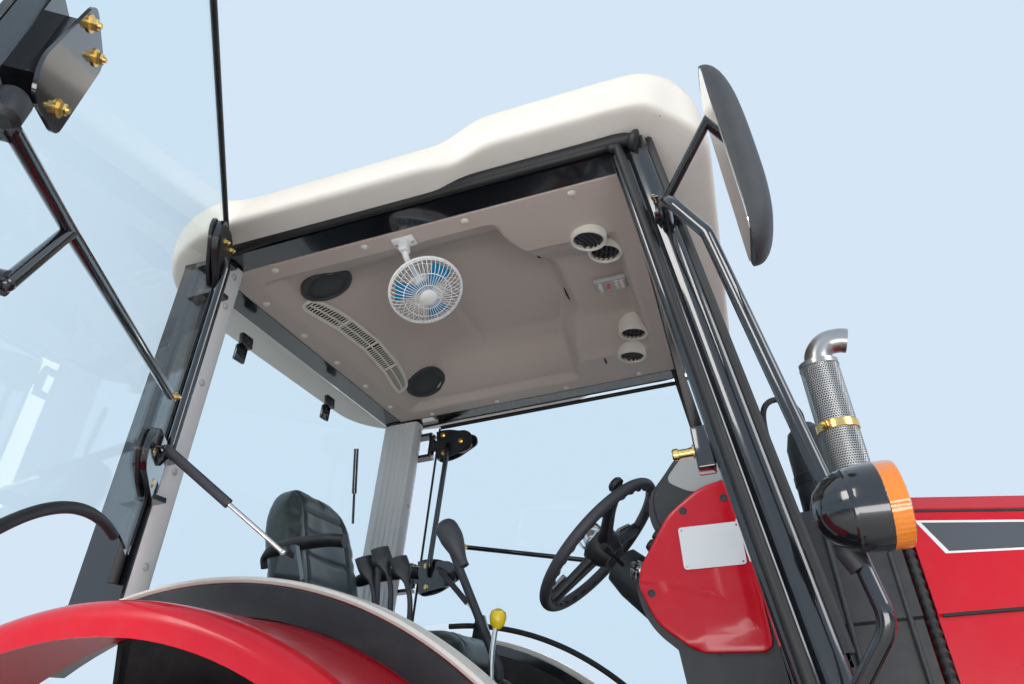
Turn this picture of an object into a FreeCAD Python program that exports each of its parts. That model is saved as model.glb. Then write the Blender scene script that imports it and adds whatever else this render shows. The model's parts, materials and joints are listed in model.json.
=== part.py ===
import FreeCAD, Part
import math
import os
import Sketcher

# Farm tractor with a four post glass cab, in millimetres.
# Every sub-part is drawn in the tractor's own axes: X forward from the rear axle,
# Y to the left from the middle plane, Z up from the ground.
# The datum then sets the whole machine about the foot of its box, right door open.

Vector = FreeCAD.Vector
Rotation = FreeCAD.Rotation
Placement = FreeCAD.Placement

doc = FreeCAD.newDocument("Tractor")
sheet = doc.addObject("Spreadsheet::Sheet", "Sizes")

# name, value in mm or degrees, what it measures
DRIVING = [
    ("datum_x", -949.0, "shift from the rear axle to the middle of the box"),
    ("datum_y", 458.0, "shift from the middle plane to the middle of the box"),
    ("fit_gap", 0.3, "seat between two separate pieces"),
    ("pin_play", 0.05, "radial play of a pin in its bore"),
    ("wheelbase", 2100.0, "rear axle to front axle"),
    ("rear_tyre_dia", 1400.0, "over the lugs"),
    ("rear_tyre_width", 378.0, "section width"),
    ("rear_rim_dia", 780.0, "bead seat"),
    ("rear_track", 1520.0, "between tyre centres"),
    ("rear_lug_height", 34.0, "lug above the casing"),
    ("front_tyre_dia", 1050.0, "over the lugs"),
    ("front_tyre_width", 241.0, "section width"),
    ("front_rim_dia", 620.0, "bead seat"),
    ("front_track", 1420.0, "between tyre centres"),
    ("front_lug_height", 24.0, "lug above the casing"),
    ("rim_wall", 12.0, "half thickness of the wheel disc"),
    ("rear_axle_dia", 90.0, "rear axle shaft"),
    ("spindle_dia", 70.0, "front spindle"),
    ("kingpin_inset", 165.0, "front tyre's middle to the kingpin"),
    ("kingpin_dia", 44.0, "kingpin"),
    ("engine_width", 380.0, "engine block"),
    ("sump_drop", 140.0, "rear axle down to the sump"),
    ("engine_height", 620.0, "sump to rocker cover"),
    ("engine_rear", 1310.0, "engine to gearbox joint"),
    ("engine_front", 1860.0, "engine to front frame joint"),
    ("gearbox_width", 360.0, "gearbox housing"),
    ("axle_tube_dia", 230.0, "rear axle trumpet at its outer end"),
    ("cab_half", 660.0, "middle plane to the outer face of the pillars"),
    ("cab_narrow", 545.0, "middle plane to the cab wall beside the rear tyre"),
    ("pillar", 70.0, "pillar across the cab"),
    ("front_pillar_depth", 90.0, "front pillar front to back"),
    ("rear_pillar_depth", 140.0, "rear pillar front to back"),
    ("floor_rise", 360.0, "rear axle up to the cab floor"),
    ("floor_thick", 40.0, "cab floor plate"),
    ("cab_height", 1440.0, "floor to the underside of the roof rail"),
    ("rail_height", 70.0, "roof rail"),
    ("front_pillar_top", 1018.0, "front pillar's rear edge at the roof rail"),
    ("front_pillar_foot", 1185.0, "front pillar's rear edge at the floor"),
    ("rear_pillar_top", -45.0, "rear pillar's front edge at the roof rail"),
    ("rear_pillar_foot", -290.0, "rear pillar's front edge carried down to the floor"),
    ("sill_drop", 40.0, "crest of the sill's arch to the foot of the rear pillars"),
    ("windscreen_foot", 300.0, "floor to the windscreen's lower edge"),
    ("roof_front", 1255.0, "front of the roof"),
    ("roof_rear", -330.0, "back of the roof"),
    ("roof_half", 765.0, "middle plane to the roof's side lip"),
    ("roof_height", 220.0, "roof rail's underside to the roof's crown"),
    ("dome_height", 130.0, "headliner's dome above its rim"),
    ("liner_wall", 12.0, "headliner moulding"),
    ("glass", 6.0, "glass thickness"),
    ("door_plane", 700.0, "middle plane to the door's glass and hinge line"),
    ("door_open", 57.0, "door against its strut's stop"),
    ("door_foot", 50.0, "floor to the door's lower edge"),
    ("hinge_ahead", 35.0, "rear pillar's front edge to the door's hinge line"),
    ("hinge_pin_dia", 16.0, "door hinge pin"),
    ("upper_hinge_drop", 90.0, "roof rail to the upper door hinge"),
    ("lower_hinge_drop", 620.0, "roof rail to the lower door hinge"),
    ("strut_foot_x", 193.0, "gas strut's ball on the sill, from the rear axle"),
    ("strut_foot_y", 634.0, "gas strut's ball on the sill, from the middle plane"),
    ("strut_foot_rise", 51.0, "gas strut's ball above the crest of the sill's arch"),
    ("strut_drop", 600.0, "roof rail to the strut's ball on the door"),
    ("strut_reach", 120.0, "door hinge line to the strut's ball on the door"),
    ("strut_dia", 22.0, "gas strut tube"),
    ("strut_rod_dia", 10.0, "gas strut rod"),
    ("strut_tube", 175.0, "gas strut tube length"),
    ("fender_radius", 860.0, "outer skin of the fender"),
    ("fender_outer", 965.0, "outer edge of the fender"),
    ("fender_wall", 5.0, "fender sheet with its folded lip"),
    ("sill_radius", 930.0, "cab sill over the fender"),
    ("bonnet_rear", 1450.0, "rear edge of the bonnet"),
    ("bonnet_front", 2800.0, "nose"),
    ("bonnet_half", 350.0, "middle plane to the bonnet's side"),
    ("bonnet_top", 660.0, "floor to the bonnet's crown at its rear"),
    ("bonnet_nose_top", 500.0, "floor to the bonnet's crown behind the nose"),
    ("bonnet_foot", 70.0, "floor to the bonnet's lower edge"),
    ("bonnet_wall", 8.0, "bonnet sheet with its folds"),
    ("hood_gap", 26.0, "bonnet to cowl, room for the rear edge to swing"),
    ("hood_pin_drop", 38.0, "bonnet's crown down to its hinge"),
    ("wheel_rim_dia", 420.0, "steering wheel"),
    ("seat_width", 460.0, "cushion"),
    ("seat_height", 500.0, "floor to the top of the cushion"),
    ("exhaust_x", 1390.0, "exhaust stack"),
    ("exhaust_y", -270.0, "exhaust stack"),
    ("exhaust_top", 1030.0, "floor to the end of the exhaust"),
    ("exhaust_dia", 88.0, "heat shield"),
    ("intake_dia", 110.0, "air intake canister"),
    ("link_reach", 870.0, "rear axle to the lower link's ball"),
    ("link_spread", 700.0, "between the lower link balls"),
    ("link_drop", 180.0, "rear axle down to the lower link pivots and balls"),
    ("ball_bore", 28.0, "lower link ball bore"),
    ("rock_rise", 180.0, "rear axle up to the rock shaft"),
    ("drawbar_bore", 30.0, "drawbar pin hole"),
    ("drawbar_drop", 280.0, "rear axle down to the drawbar's middle"),
]
REAR_LUGS = 20
FRONT_LUGS = 18


class Size:
    """A length that carries its number and the sheet expression behind it."""

    def __init__(self, number, text):
        self.number = float(number)
        self.text = text

    def __float__(self):
        return self.number

    def __add__(self, other):
        other = as_size(other)
        return Size(self.number + other.number, f"({self.text} + {other.text})")

    def __sub__(self, other):
        other = as_size(other)
        return Size(self.number - other.number, f"({self.text} - {other.text})")

    def __mul__(self, other):
        other = as_size(other)
        return Size(self.number * other.number, f"({self.text} * {other.text})")

    def __truediv__(self, other):
        other = as_size(other)
        return Size(self.number / other.number, f"({self.text} / {other.text})")

    def __radd__(self, other):
        return as_size(other) + self

    def __rsub__(self, other):
        return as_size(other) - self

    def __rmul__(self, other):
        return as_size(other) * self

    def __neg__(self):
        return Size(-self.number, f"(-1 * {self.text})")

    def __lt__(self, other):
        return self.number < float(other)


def as_size(value):
    if isinstance(value, Size):
        return value
    return Size(value, f"({float(value)!r})")


def root(value):
    return Size(math.sqrt(float(value)), f"sqrt({value.text})")


class Values:
    """The sheet's cells, each read as a Size by its alias."""


size = Values()
for row, (alias, value, meaning) in enumerate(DRIVING, start=1):
    sheet.set(f"A{row}", str(value))
    sheet.set(f"B{row}", meaning)
    sheet.setAlias(f"A{row}", alias)
    setattr(size, alias, Size(value, f"Sizes.{alias}"))
doc.recompute()

SUBPARTS = []


def bind(item, field, value):
    item.setExpression(field, as_size(value).text)


def bind_base(item, x, y, z):
    bind(item, "Placement.Base.x", x)
    bind(item, "Placement.Base.y", y)
    bind(item, "Placement.Base.z", z)


def vec(point):
    return Vector(float(point[0]), float(point[1]), float(point[2]))


def span(a, b):
    """Two values, the smaller one first."""
    return (a, b) if float(a) < float(b) else (b, a)


# Primitives, sketches and booleans. Every one is an object of the document.

def box(x0, x1, y0, y1, z0, z1):
    y0, y1 = span(y0, y1)
    item = doc.addObject("Part::Box", "box")
    bind(item, "Length", as_size(x1) - x0)
    bind(item, "Width", as_size(y1) - y0)
    bind(item, "Height", as_size(z1) - z0)
    bind_base(item, x0, y0, z0)
    return item


def length_of(start, end):
    total = as_size(0)
    for first, last in zip(start, end):
        step = as_size(last) - first
        total = total + step * step
    return root(total)


def rod(start, end, radius):
    item = doc.addObject("Part::Cylinder", "rod")
    bind(item, "Radius", radius)
    bind(item, "Height", length_of(start, end))
    item.Placement = Placement(vec(start), Rotation(Vector(0, 0, 1), vec(end) - vec(start)))
    bind_base(item, *start)
    return item


def taper(start, end, first, last):
    item = doc.addObject("Part::Cone", "taper")
    bind(item, "Radius1", first)
    bind(item, "Radius2", last)
    bind(item, "Height", length_of(start, end))
    item.Placement = Placement(vec(start), Rotation(Vector(0, 0, 1), vec(end) - vec(start)))
    bind_base(item, *start)
    return item


def ball(centre, radius):
    item = doc.addObject("Part::Sphere", "ball")
    bind(item, "Radius", radius)
    bind_base(item, *centre)
    return item


def ring(centre, way, radius, thick):
    item = doc.addObject("Part::Torus", "ring")
    bind(item, "Radius1", radius)
    bind(item, "Radius2", thick)
    item.Placement = Placement(vec(centre), Rotation(Vector(0, 0, 1), Vector(*way)))
    bind_base(item, *centre)
    return item


def fix(made, item, end, a, b):
    for way, value in (("DistanceX", a), ("DistanceY", b)):
        number = made.addConstraint(Sketcher.Constraint(way, item, end, float(value)))
        if "Sizes." in as_size(value).text:
            bind(made, f"Constraints[{number}]", value)


def trace(made, corners):
    """Draw a closed outline. A corner is (a, b), or (a, b, arc_a, arc_b) with a point on
    the arc that leads to the next corner."""
    count = len(corners)
    first_item = made.GeometryCount
    spots = [Vector(float(corner[0]), float(corner[1]), 0) for corner in corners]
    ends = []
    for index, corner in enumerate(corners):
        start = spots[index]
        end = spots[(index + 1) % count]
        first, last = 1, 2
        if len(corner) == 4:
            middle = Vector(float(corner[2]), float(corner[3]), 0)
            made.addGeometry(Part.Arc(start, middle, end))
            if (end - start).cross(middle - start).z > 0:
                first, last = 2, 1
        else:
            made.addGeometry(Part.LineSegment(start, end))
        ends.append((first, last))
    for index in range(count):
        after = (index + 1) % count
        made.addConstraint(Sketcher.Constraint("Coincident", first_item + index, ends[index][1],
                                               first_item + after, ends[after][0]))
    for index, corner in enumerate(corners):
        fix(made, first_item + index, ends[index][0], corner[0], corner[1])
        if len(corner) == 4:
            spot = made.addGeometry(Part.Point(Vector(float(corner[2]), float(corner[3]), 0)), True)
            fix(made, spot, 1, corner[2], corner[3])
            made.addConstraint(Sketcher.Constraint("PointOnObject", spot, 1, first_item + index))


FLAT = {
    "XY": (Rotation(), 2),
    "XZ": (Rotation(Vector(1, 0, 0), 90), 1),
    "YZ": (Rotation(Vector(1, 1, 1), 120), 0),
}


def outline(plane, level, corners):
    """A sketch on a plane of the tractor, at a level along the plane's own direction."""
    made = doc.addObject("Sketcher::SketchObject", "outline")
    rotation, direction = FLAT[plane]
    made.Placement = Placement(Vector(0, 0, 0), rotation)
    bind(made, "Placement.Base." + "xyz"[direction], level)
    trace(made, corners)
    return made


def plate(plane, corners, start, end):
    """An outline carried from one level to another."""
    start, end = span(start, end)
    item = doc.addObject("Part::Extrusion", "plate")
    item.Base = outline(plane, start, corners)
    item.DirMode = "Custom"
    way = [0, 0, 0]
    way[FLAT[plane][1]] = 1
    item.Dir = Vector(*way)
    bind(item, "LengthFwd", as_size(end) - start)
    item.Solid = True
    return item


def loft(plane, sections):
    """Ruled walls between outlines at several levels."""
    item = doc.addObject("Part::Loft", "loft")
    item.Sections = [outline(plane, level, corners) for level, corners in sections]
    item.Solid = True
    item.Ruled = True
    return item


def turned(centre, profile, angle=360, start=0):
    """A profile of (y, radius) corners turned about a line along Y through a centre. Start is
    how far from upright it begins, and a positive angle runs forward over the top."""
    item = doc.addObject("Part::Revolution", "turned")
    item.Source = outline("YZ", 0, profile)
    item.Axis = Vector(0, 1, 0)
    item.Angle = angle
    item.Solid = True
    item.Placement = Placement(Vector(0, 0, 0), Rotation(Vector(0, 1, 0), start))
    bind_base(item, *centre)
    return item


def fused(pieces, name="fused"):
    item = doc.addObject("Part::MultiFuse", name)
    item.Shapes = pieces
    item.Refine = True
    return item


def cut(base, tools, name="cut"):
    item = doc.addObject("Part::Cut", name)
    item.Base = base
    item.Tool = tools[0] if len(tools) == 1 else fused(tools, "tools")
    item.Refine = True
    return item


def kept(pieces, name="set"):
    """Like pieces on one body that don't touch."""
    item = doc.addObject("Part::Compound", name)
    item.Links = pieces
    return item


def reflected(item):
    """A copy on the other side of the middle plane, to go into the same sub-part."""
    made = doc.addObject("Part::Mirroring", "reflected")
    made.Source = item
    made.Normal = Vector(0, 1, 0)
    return made


def pair(item):
    return kept([item, reflected(item)])


def publish(item, name, x=0, y=0, z=0, axis=None, angle=0):
    """Make an object a sub-part: its name, its turn, and the shift to the datum."""
    item.Label = name
    if axis is not None:
        item.Placement = Placement(Vector(0, 0, 0), Rotation(axis, float(angle)))
    bind_base(item, size.datum_x + x, size.datum_y + y, z)
    SUBPARTS.append(item)
    return item


def mirrored(item, name):
    """The same sub-part on the other side of the middle plane."""
    made = doc.addObject("Part::Mirroring", name)
    made.Label = name
    made.Source = item
    made.Normal = Vector(0, 1, 0)
    bind(made, "Base.y", size.datum_y)
    SUBPARTS.append(made)
    return made


def bent_tube(name, points, radius):
    """Straight runs joined by tangent arcs, as a bent steel tube."""
    points = [vec(point) for point in points]
    edges = []
    start = points[0]
    for index in range(1, len(points) - 1):
        here = points[index]
        back = points[index - 1] - here
        onward = points[index + 1] - here
        turn = math.pi - back.getAngle(onward)
        inset = min(0.45 * min(back.Length, onward.Length), 4 * float(radius) * math.tan(turn / 2))
        enter = here + back.normalize() * inset
        leave = here + onward.normalize() * inset
        bend = inset / math.tan(turn / 2)
        centre = here + ((enter + leave) * 0.5 - here).normalize() * math.hypot(inset, bend)
        middle = centre + (here - centre).normalize() * bend
        edges.append(Part.LineSegment(start, enter).toShape())
        edges.append(Part.Arc(enter, middle, leave).toShape())
        start = leave
    edges.append(Part.LineSegment(start, points[-1]).toShape())
    section = Part.Wire(Part.makeCircle(float(radius), points[0], points[1] - points[0]))
    item = doc.addObject("Part::Feature", name)
    item.Shape = Part.Wire(edges).makePipeShell([section], True, False)
    return item


# Places that several sub-parts share.

AXLE_Z = size.rear_tyre_dia / 2
FRONT_Z = size.front_tyre_dia / 2
BASE = size.wheelbase
FLOOR = AXLE_Z + size.floor_rise
UNDER = FLOOR - size.floor_thick
RAIL = FLOOR + size.cab_height
CREST = AXLE_Z + size.sill_radius
SILL = CREST - size.sill_drop
HALF = size.cab_half
INNER = size.cab_half - size.pillar
GAP = size.fit_gap


def lean(z, foot, top):
    """Where a leaning pillar's edge lies at a height."""
    share = (as_size(z) - FLOOR) / size.cab_height
    return foot + share * (top - foot)


def front_post(z):
    return lean(z, size.front_pillar_foot, size.front_pillar_top)


def rear_post(z):
    return lean(z, size.rear_pillar_foot, size.rear_pillar_top)


def hinge_x(z):
    """The door's hinge line runs beside the leaning rear pillar."""
    return rear_post(z) + size.hinge_ahead


def on_arch(radius, angle):
    """A point of a circle about the rear axle."""
    turn = math.radians(angle)
    return radius * math.cos(turn), AXLE_Z + radius * math.sin(turn)


def arch(inside, outside, start, end, y0, y1):
    """A slice of a thick pipe about the rear axle, between two angles."""
    middle = (start + end) / 2
    corners = [
        on_arch(outside, start) + on_arch(outside, middle),
        on_arch(outside, end),
        on_arch(inside, end) + on_arch(inside, middle),
        on_arch(inside, start),
    ]
    return plate("XZ", corners, y0, y1)


def body(name):
    made = doc.addObject("PartDesign::Body", name)
    made.Label = name
    return made


def body_plane(made, role):
    for plane in made.Origin.OriginFeatures:
        if plane.Role == role:
            return plane
    raise ValueError(role)


def body_sketch(made, name, role, level, loops):
    drawn = made.newObject("Sketcher::SketchObject", name)
    drawn.AttachmentSupport = (body_plane(made, role), [""])
    drawn.MapMode = "FlatFace"
    bind(drawn, "AttachmentOffset.Base.z", level)
    for corners in loops:
        trace(drawn, corners)
    return drawn


def tyre(name, x, y, dia, width, rim_dia, lug_height, count):
    """A casing turned from its section, with a chevron of bars patterned round it."""
    made = body(name)
    radius = dia / 2
    casing = radius - lug_height
    bead = rim_dia / 2 + GAP
    rise = casing - bead
    half = width / 2
    section = body_sketch(made, name + "_section", "YZ_Plane", 0, [[
        (-0.78 * half, bead),
        (0.78 * half, bead),
        (half, 0.45 * rise + bead),
        (0.94 * half, 0.86 * rise + bead),
        (0.74 * half, casing),
        (-0.74 * half, casing),
        (-0.94 * half, 0.86 * rise + bead),
        (-half, 0.45 * rise + bead),
    ]])
    casing_turn = made.newObject("PartDesign::Revolution", name + "_casing")
    casing_turn.Profile = section
    casing_turn.ReferenceAxis = (section, ["H_Axis"])
    casing_turn.Angle = 360
    doc.recompute()
    bar = 0.30 * math.pi * dia / count
    slant = 0.62 * half
    reach = 0.5 * slant + 0.5 * bar
    top = root(radius * radius - reach * reach)
    low = 0.86 * rise + bead
    tip = 0.96 * half
    # side of the tyre, turn from upright: the two rows stand half a pitch apart
    for way, turn in ((1, 0.0), (-1, 180.0 / count)):
        nose, tail = slant / 2, -slant / 2
        start = -0.04 * way * width
        bars = body_sketch(made, f"{name}_bars", "XY_Plane", low, [[
            (nose - bar / 2, start), (nose + bar / 2, start),
            (tail + bar / 2, way * tip), (tail - bar / 2, way * tip),
        ]])
        bars.AttachmentOffset = Placement(Vector(0, 0, float(low)), Rotation(Vector(0, 1, 0), turn))
        bind(bars, "AttachmentOffset.Base.x", low * math.sin(math.radians(turn)))
        bind(bars, "AttachmentOffset.Base.z", low * math.cos(math.radians(turn)))
        lugs = made.newObject("PartDesign::Pad", f"{name}_lugs")
        lugs.Profile = bars
        bind(lugs, "Length", top - low)
        doc.recompute()
        around = made.newObject("PartDesign::PolarPattern", f"{name}_pattern")
        around.Originals = [lugs]
        around.Axis = (section, ["H_Axis"])
        around.Angle = 360
        around.Occurrences = count
        made.Tip = around
        doc.recompute()
    return publish(made, name, x=x, y=y, z=radius)


def rim(name, x, y, dia, width, tyre_dia, shaft_dia, bolts, circle):
    """A barrel and a dished disc in one turned section, with a ring of bolt holes."""
    bead = dia / 2
    half = width / 2
    well = bead - 40
    wall = size.rim_wall
    dish = 0.10 * width
    shaft = shaft_dia / 2 + GAP
    barrel = turned((0, 0, 0), [
        (-0.84 * half, bead - 14), (-0.84 * half, bead), (0.84 * half, bead), (0.84 * half, bead - 14),
        (0.40 * half, well), (dish + wall, well), (dish + wall, shaft), (dish - wall, shaft),
        (dish - wall, well - 10), (-0.40 * half, well - 10),
    ])
    holes = []
    for index in range(bolts):
        turn = 2 * math.pi * index / bolts
        a, b = circle * math.cos(turn), circle * math.sin(turn)
        holes.append(rod((a, -half, b), (a, half, b), 0.10 * circle))
    return publish(cut(barrel, holes), name, x=x, y=y, z=tyre_dia / 2)


def wheels():
    """Both ends carry the same kinds of wheel, made once and mirrored."""
    rear_y, front_y = size.rear_track / 2, size.front_track / 2
    left = tyre("rear_tyre_left", 0, rear_y, size.rear_tyre_dia, size.rear_tyre_width, size.rear_rim_dia,
                size.rear_lug_height, REAR_LUGS)
    mirrored(left, "rear_tyre_right")
    left = rim("rear_rim_left", 0, rear_y, size.rear_rim_dia, size.rear_tyre_width, size.rear_tyre_dia,
               size.rear_axle_dia, 8, 0.42 * size.rear_rim_dia)
    mirrored(left, "rear_rim_right")
    left = tyre("front_tyre_left", BASE, front_y, size.front_tyre_dia, size.front_tyre_width,
                size.front_rim_dia, size.front_lug_height, FRONT_LUGS)
    mirrored(left, "front_tyre_right")
    left = rim("front_rim_left", BASE, front_y, size.front_rim_dia, size.front_tyre_width,
               size.front_tyre_dia, size.spindle_dia, 6, 0.40 * size.front_rim_dia)
    mirrored(left, "front_rim_right")


def front_running_gear():
    """The beam hangs below the frame with a kingpin at each end, and each knuckle turns on one."""
    kingpin = size.front_track / 2 - size.kingpin_inset
    pin = size.kingpin_dia / 2
    beam_end = kingpin - 55
    centre = plate("YZ", [
        (-beam_end, FRONT_Z - 34), (-150, FRONT_Z - 62), (150, FRONT_Z - 62), (beam_end, FRONT_Z - 34),
        (beam_end, FRONT_Z + 34), (170, FRONT_Z + 60 - GAP), (-170, FRONT_Z + 60 - GAP),
        (-beam_end, FRONT_Z + 34),
    ], BASE - 55, BASE + 55)
    yoke = [
        box(BASE - 45, BASE + 45, kingpin - 90, kingpin + 30, FRONT_Z + 70, FRONT_Z + 110),
        box(BASE - 45, BASE + 45, kingpin - 90, kingpin + 30, FRONT_Z - 110, FRONT_Z - 70),
        box(BASE - 32, BASE + 32, kingpin - 100, kingpin - 55, FRONT_Z - 110, FRONT_Z + 110),
        rod((BASE, kingpin, FRONT_Z - 110), (BASE, kingpin, FRONT_Z + 130), pin),
    ]
    yokes = fused(yoke)
    publish(fused([centre, yokes, reflected(yokes)]), "front_axle")
    hub = size.front_track / 2 + 0.10 * size.front_tyre_width
    flange = hub - size.rim_wall - GAP
    knuckle = fused([
        rod((BASE, kingpin, FRONT_Z - 70 + GAP), (BASE, kingpin, FRONT_Z + 70 - GAP), 42),
        taper((BASE, kingpin, FRONT_Z), (BASE, hub - 60, FRONT_Z), 50, 60),
        rod((BASE, kingpin, FRONT_Z), (BASE, hub + 40, FRONT_Z), size.spindle_dia / 2),
        rod((BASE, hub - 60, FRONT_Z), (BASE, flange, FRONT_Z), 90),
        box(BASE - 190, BASE, kingpin - 15, kingpin + 15, FRONT_Z - 66, FRONT_Z - 52),
    ])
    bore = rod((BASE, kingpin, FRONT_Z - 200), (BASE, kingpin, FRONT_Z + 200), pin + size.pin_play)
    left = publish(cut(knuckle, [bore]), "knuckle_left")
    mirrored(left, "knuckle_right")


ROCK_X = -190
LINK_X = -200
LINK_Z = AXLE_Z - size.link_drop
ROCK_Z = AXLE_Z + size.rock_rise


def driveline():
    """Engine, gearbox, rear axle trumpets, and the frame ahead of the engine."""
    rear, front = size.engine_rear, size.engine_front
    bottom = AXLE_Z - size.sump_drop
    half = size.engine_width / 2
    block = box(rear + GAP, front - GAP, -half, half, bottom, bottom + size.engine_height)
    publish(kept([block]), "engine")
    wide = size.gearbox_width / 2
    low = AXLE_Z - 230
    housing = plate("XZ", [
        (-260, low), (560, low), (700, low + 60), (rear, low + 60), (rear, AXLE_Z + 250),
        (1060, AXLE_Z + 250), (980, AXLE_Z + 170), (300, AXLE_Z + 170), (220, AXLE_Z + 250),
        (-260, AXLE_Z + 250),
    ], -wide, wide)
    pieces = [
        housing,
        box(rear - 30, rear, -wide - 20, wide + 20, low + 40, AXLE_Z + 270),
        rod((-250, 0, AXLE_Z - 60), (-275, 0, AXLE_Z - 60), 60),
        rod((-260, 0, AXLE_Z - 60), (-340, 0, AXLE_Z - 60), 17.5),
        rod((LINK_X, -245, LINK_Z), (LINK_X, 245, LINK_Z), 16),
        box(1150, 1250, -150, 150, AXLE_Z + 200, UNDER - GAP),
    ]
    bearing = rod((ROCK_X, -300, ROCK_Z), (ROCK_X, 300, ROCK_Z), 40 + size.pin_play)
    publish(cut(fused(pieces), [bearing]), "transmission")
    reach = size.rear_track / 2 + 0.10 * size.rear_tyre_width - size.rim_wall - GAP
    tube = size.axle_tube_dia / 2
    side = fused([
        rod((0, wide + GAP, AXLE_Z), (0, wide + 30, AXLE_Z), tube + 50),
        taper((0, wide + 30, AXLE_Z), (0, reach - 60, AXLE_Z), tube + 20, tube - 10),
        rod((0, reach - 60, AXLE_Z), (0, reach, AXLE_Z), tube),
        rod((0, reach - 30, AXLE_Z), (0, reach + 60, AXLE_Z), size.rear_axle_dia / 2),
        box(-50, 50, 250, 330, AXLE_Z, UNDER - GAP),
    ])
    publish(pair(side), "rear_axle")
    nose = BASE + 330
    rail_low, rail_top = FRONT_Z + 60, FRONT_Z + 230
    rail = plate("XZ", [(front, rail_low), (BASE + 140, rail_low), (nose, rail_low + 60), (nose, rail_top),
                        (front, rail_top)], 140, 190)
    publish(fused([
        rail, reflected(rail),
        box(front, front + 60, -190, 190, rail_low, rail_top),
        box(BASE - 120, BASE + 120, -190, 190, rail_low, FRONT_Z + 140),
        box(BASE + 300, BASE + 380, -220, 220, FRONT_Z + 40, FRONT_Z + 250),
    ]), "front_frame")


def rounded(x0, x1, half, radius):
    """A rectangle about the middle plane with rounded corners, as an outline."""
    bend = radius * (1 - math.sqrt(0.5))
    x0, x1, half = as_size(x0), as_size(x1), as_size(half)
    return [
        (x0 + radius, -half), (x1 - radius, -half, x1 - bend, bend - half), (x1, radius - half),
        (x1, half - radius, x1 - bend, half - bend), (x1 - radius, half),
        (x0 + radius, half, x0 + bend, half - bend), (x0, half - radius),
        (x0, radius - half, x0 + bend, bend - half),
    ]


def cab_shell():
    """Four leaning posts, roof rails and the sills that arch over the fenders."""
    rail_top = RAIL + size.rail_height
    deep = size.rear_pillar_depth
    depth = size.front_pillar_depth
    sill = size.sill_radius
    sill_z = SILL
    rear_x = rear_post(sill_z)
    rear_top = size.rear_pillar_top
    rail_front = front_post(rail_top) + depth
    foot, top = size.front_pillar_foot, size.front_pillar_top
    sill_front = sill * math.cos(math.radians(23))
    sill_start = math.degrees(math.asin(float((FLOOR + 13.8 - AXLE_Z) / sill)))
    ball_x = size.strut_foot_x
    ball_z = CREST + size.strut_foot_rise
    stud = size.strut_foot_y - 7 - GAP
    bracket = size.strut_foot_y - 18
    side = [
        plate("XZ", [(foot, FLOOR), (foot + depth, FLOOR), (top + depth, RAIL), (top, RAIL)], INNER, HALF),
        plate("XZ", [(rear_x - deep, sill_z), (rear_x, sill_z), (rear_top, RAIL), (rear_top - deep, RAIL)],
              INNER, HALF),
        box(rear_top - deep, rail_front, INNER, HALF, RAIL, rail_top),
        arch(sill - 30, sill, sill_start, 118, size.cab_narrow, HALF),
        plate("XZ", [(ball_x - 45, ball_z - 100), (ball_x + 45, ball_z - 100), (ball_x + 16, ball_z + 18),
                     (ball_x - 16, ball_z + 18)], bracket - 16, bracket),
        rod((ball_x, bracket - 1, ball_z), (ball_x, stud, ball_z), 4),
        box(sill_front - 40, foot + depth, INNER, HALF, UNDER, FLOOR),
    ]
    whole = fused(side)
    cross_x = rear_x - deep
    publish(fused([
        whole, reflected(whole),
        box(top + 20, rail_front, -HALF, HALF, RAIL, rail_top),
        box(rear_top - deep, rear_top - deep + 70, -HALF, HALF, RAIL, rail_top),
        box(cross_x, cross_x + 50, -HALF, HALF, sill_z, sill_z + 40),
    ]), "cab_frame")


def cab_floor():
    """Floor plate, inner wheel arches, and the walls below the two windows."""
    sill = size.sill_radius
    side = size.cab_narrow - GAP
    back = as_size(-250)
    step_x = sill * math.cos(math.radians(23)) - 40 - GAP
    foot, depth = size.front_pillar_foot, size.front_pillar_depth
    arc = sill - 30 - GAP
    hem = FLOOR - 20
    level = hem - AXLE_Z
    front_x = root(arc * arc - level * level)
    arch_z = AXLE_Z + root(arc * arc - back * back)
    crest = on_arch(arc, 70)
    sill_z = SILL
    wall_x = rear_post(sill_z) - size.rear_pillar_depth + 50
    glass_z = FLOOR + size.windscreen_foot
    low_x, high_x = foot + 80, front_post(glass_z) + 80
    wheel_arch = plate("XZ", [(back, hem), (back, arch_z) + crest, (front_x, hem)], side - 12, side)
    publish(fused([
        box(back, step_x, -side, side, UNDER, FLOOR - GAP),
        box(step_x - 1, foot + depth, -(INNER - GAP), INNER - GAP, UNDER, FLOOR - GAP),
        wheel_arch, reflected(wheel_arch),
        plate("XZ", [(back, hem), (back + 14, hem), (wall_x + 14, sill_z - GAP), (wall_x, sill_z - GAP)],
              -side, side),
        plate("XZ", [(low_x - 14, hem), (low_x, hem), (high_x, glass_z - 2), (high_x - 14, glass_z - 2)],
              -(INNER - GAP), INNER - GAP),
    ]), "cab_floor")


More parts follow.
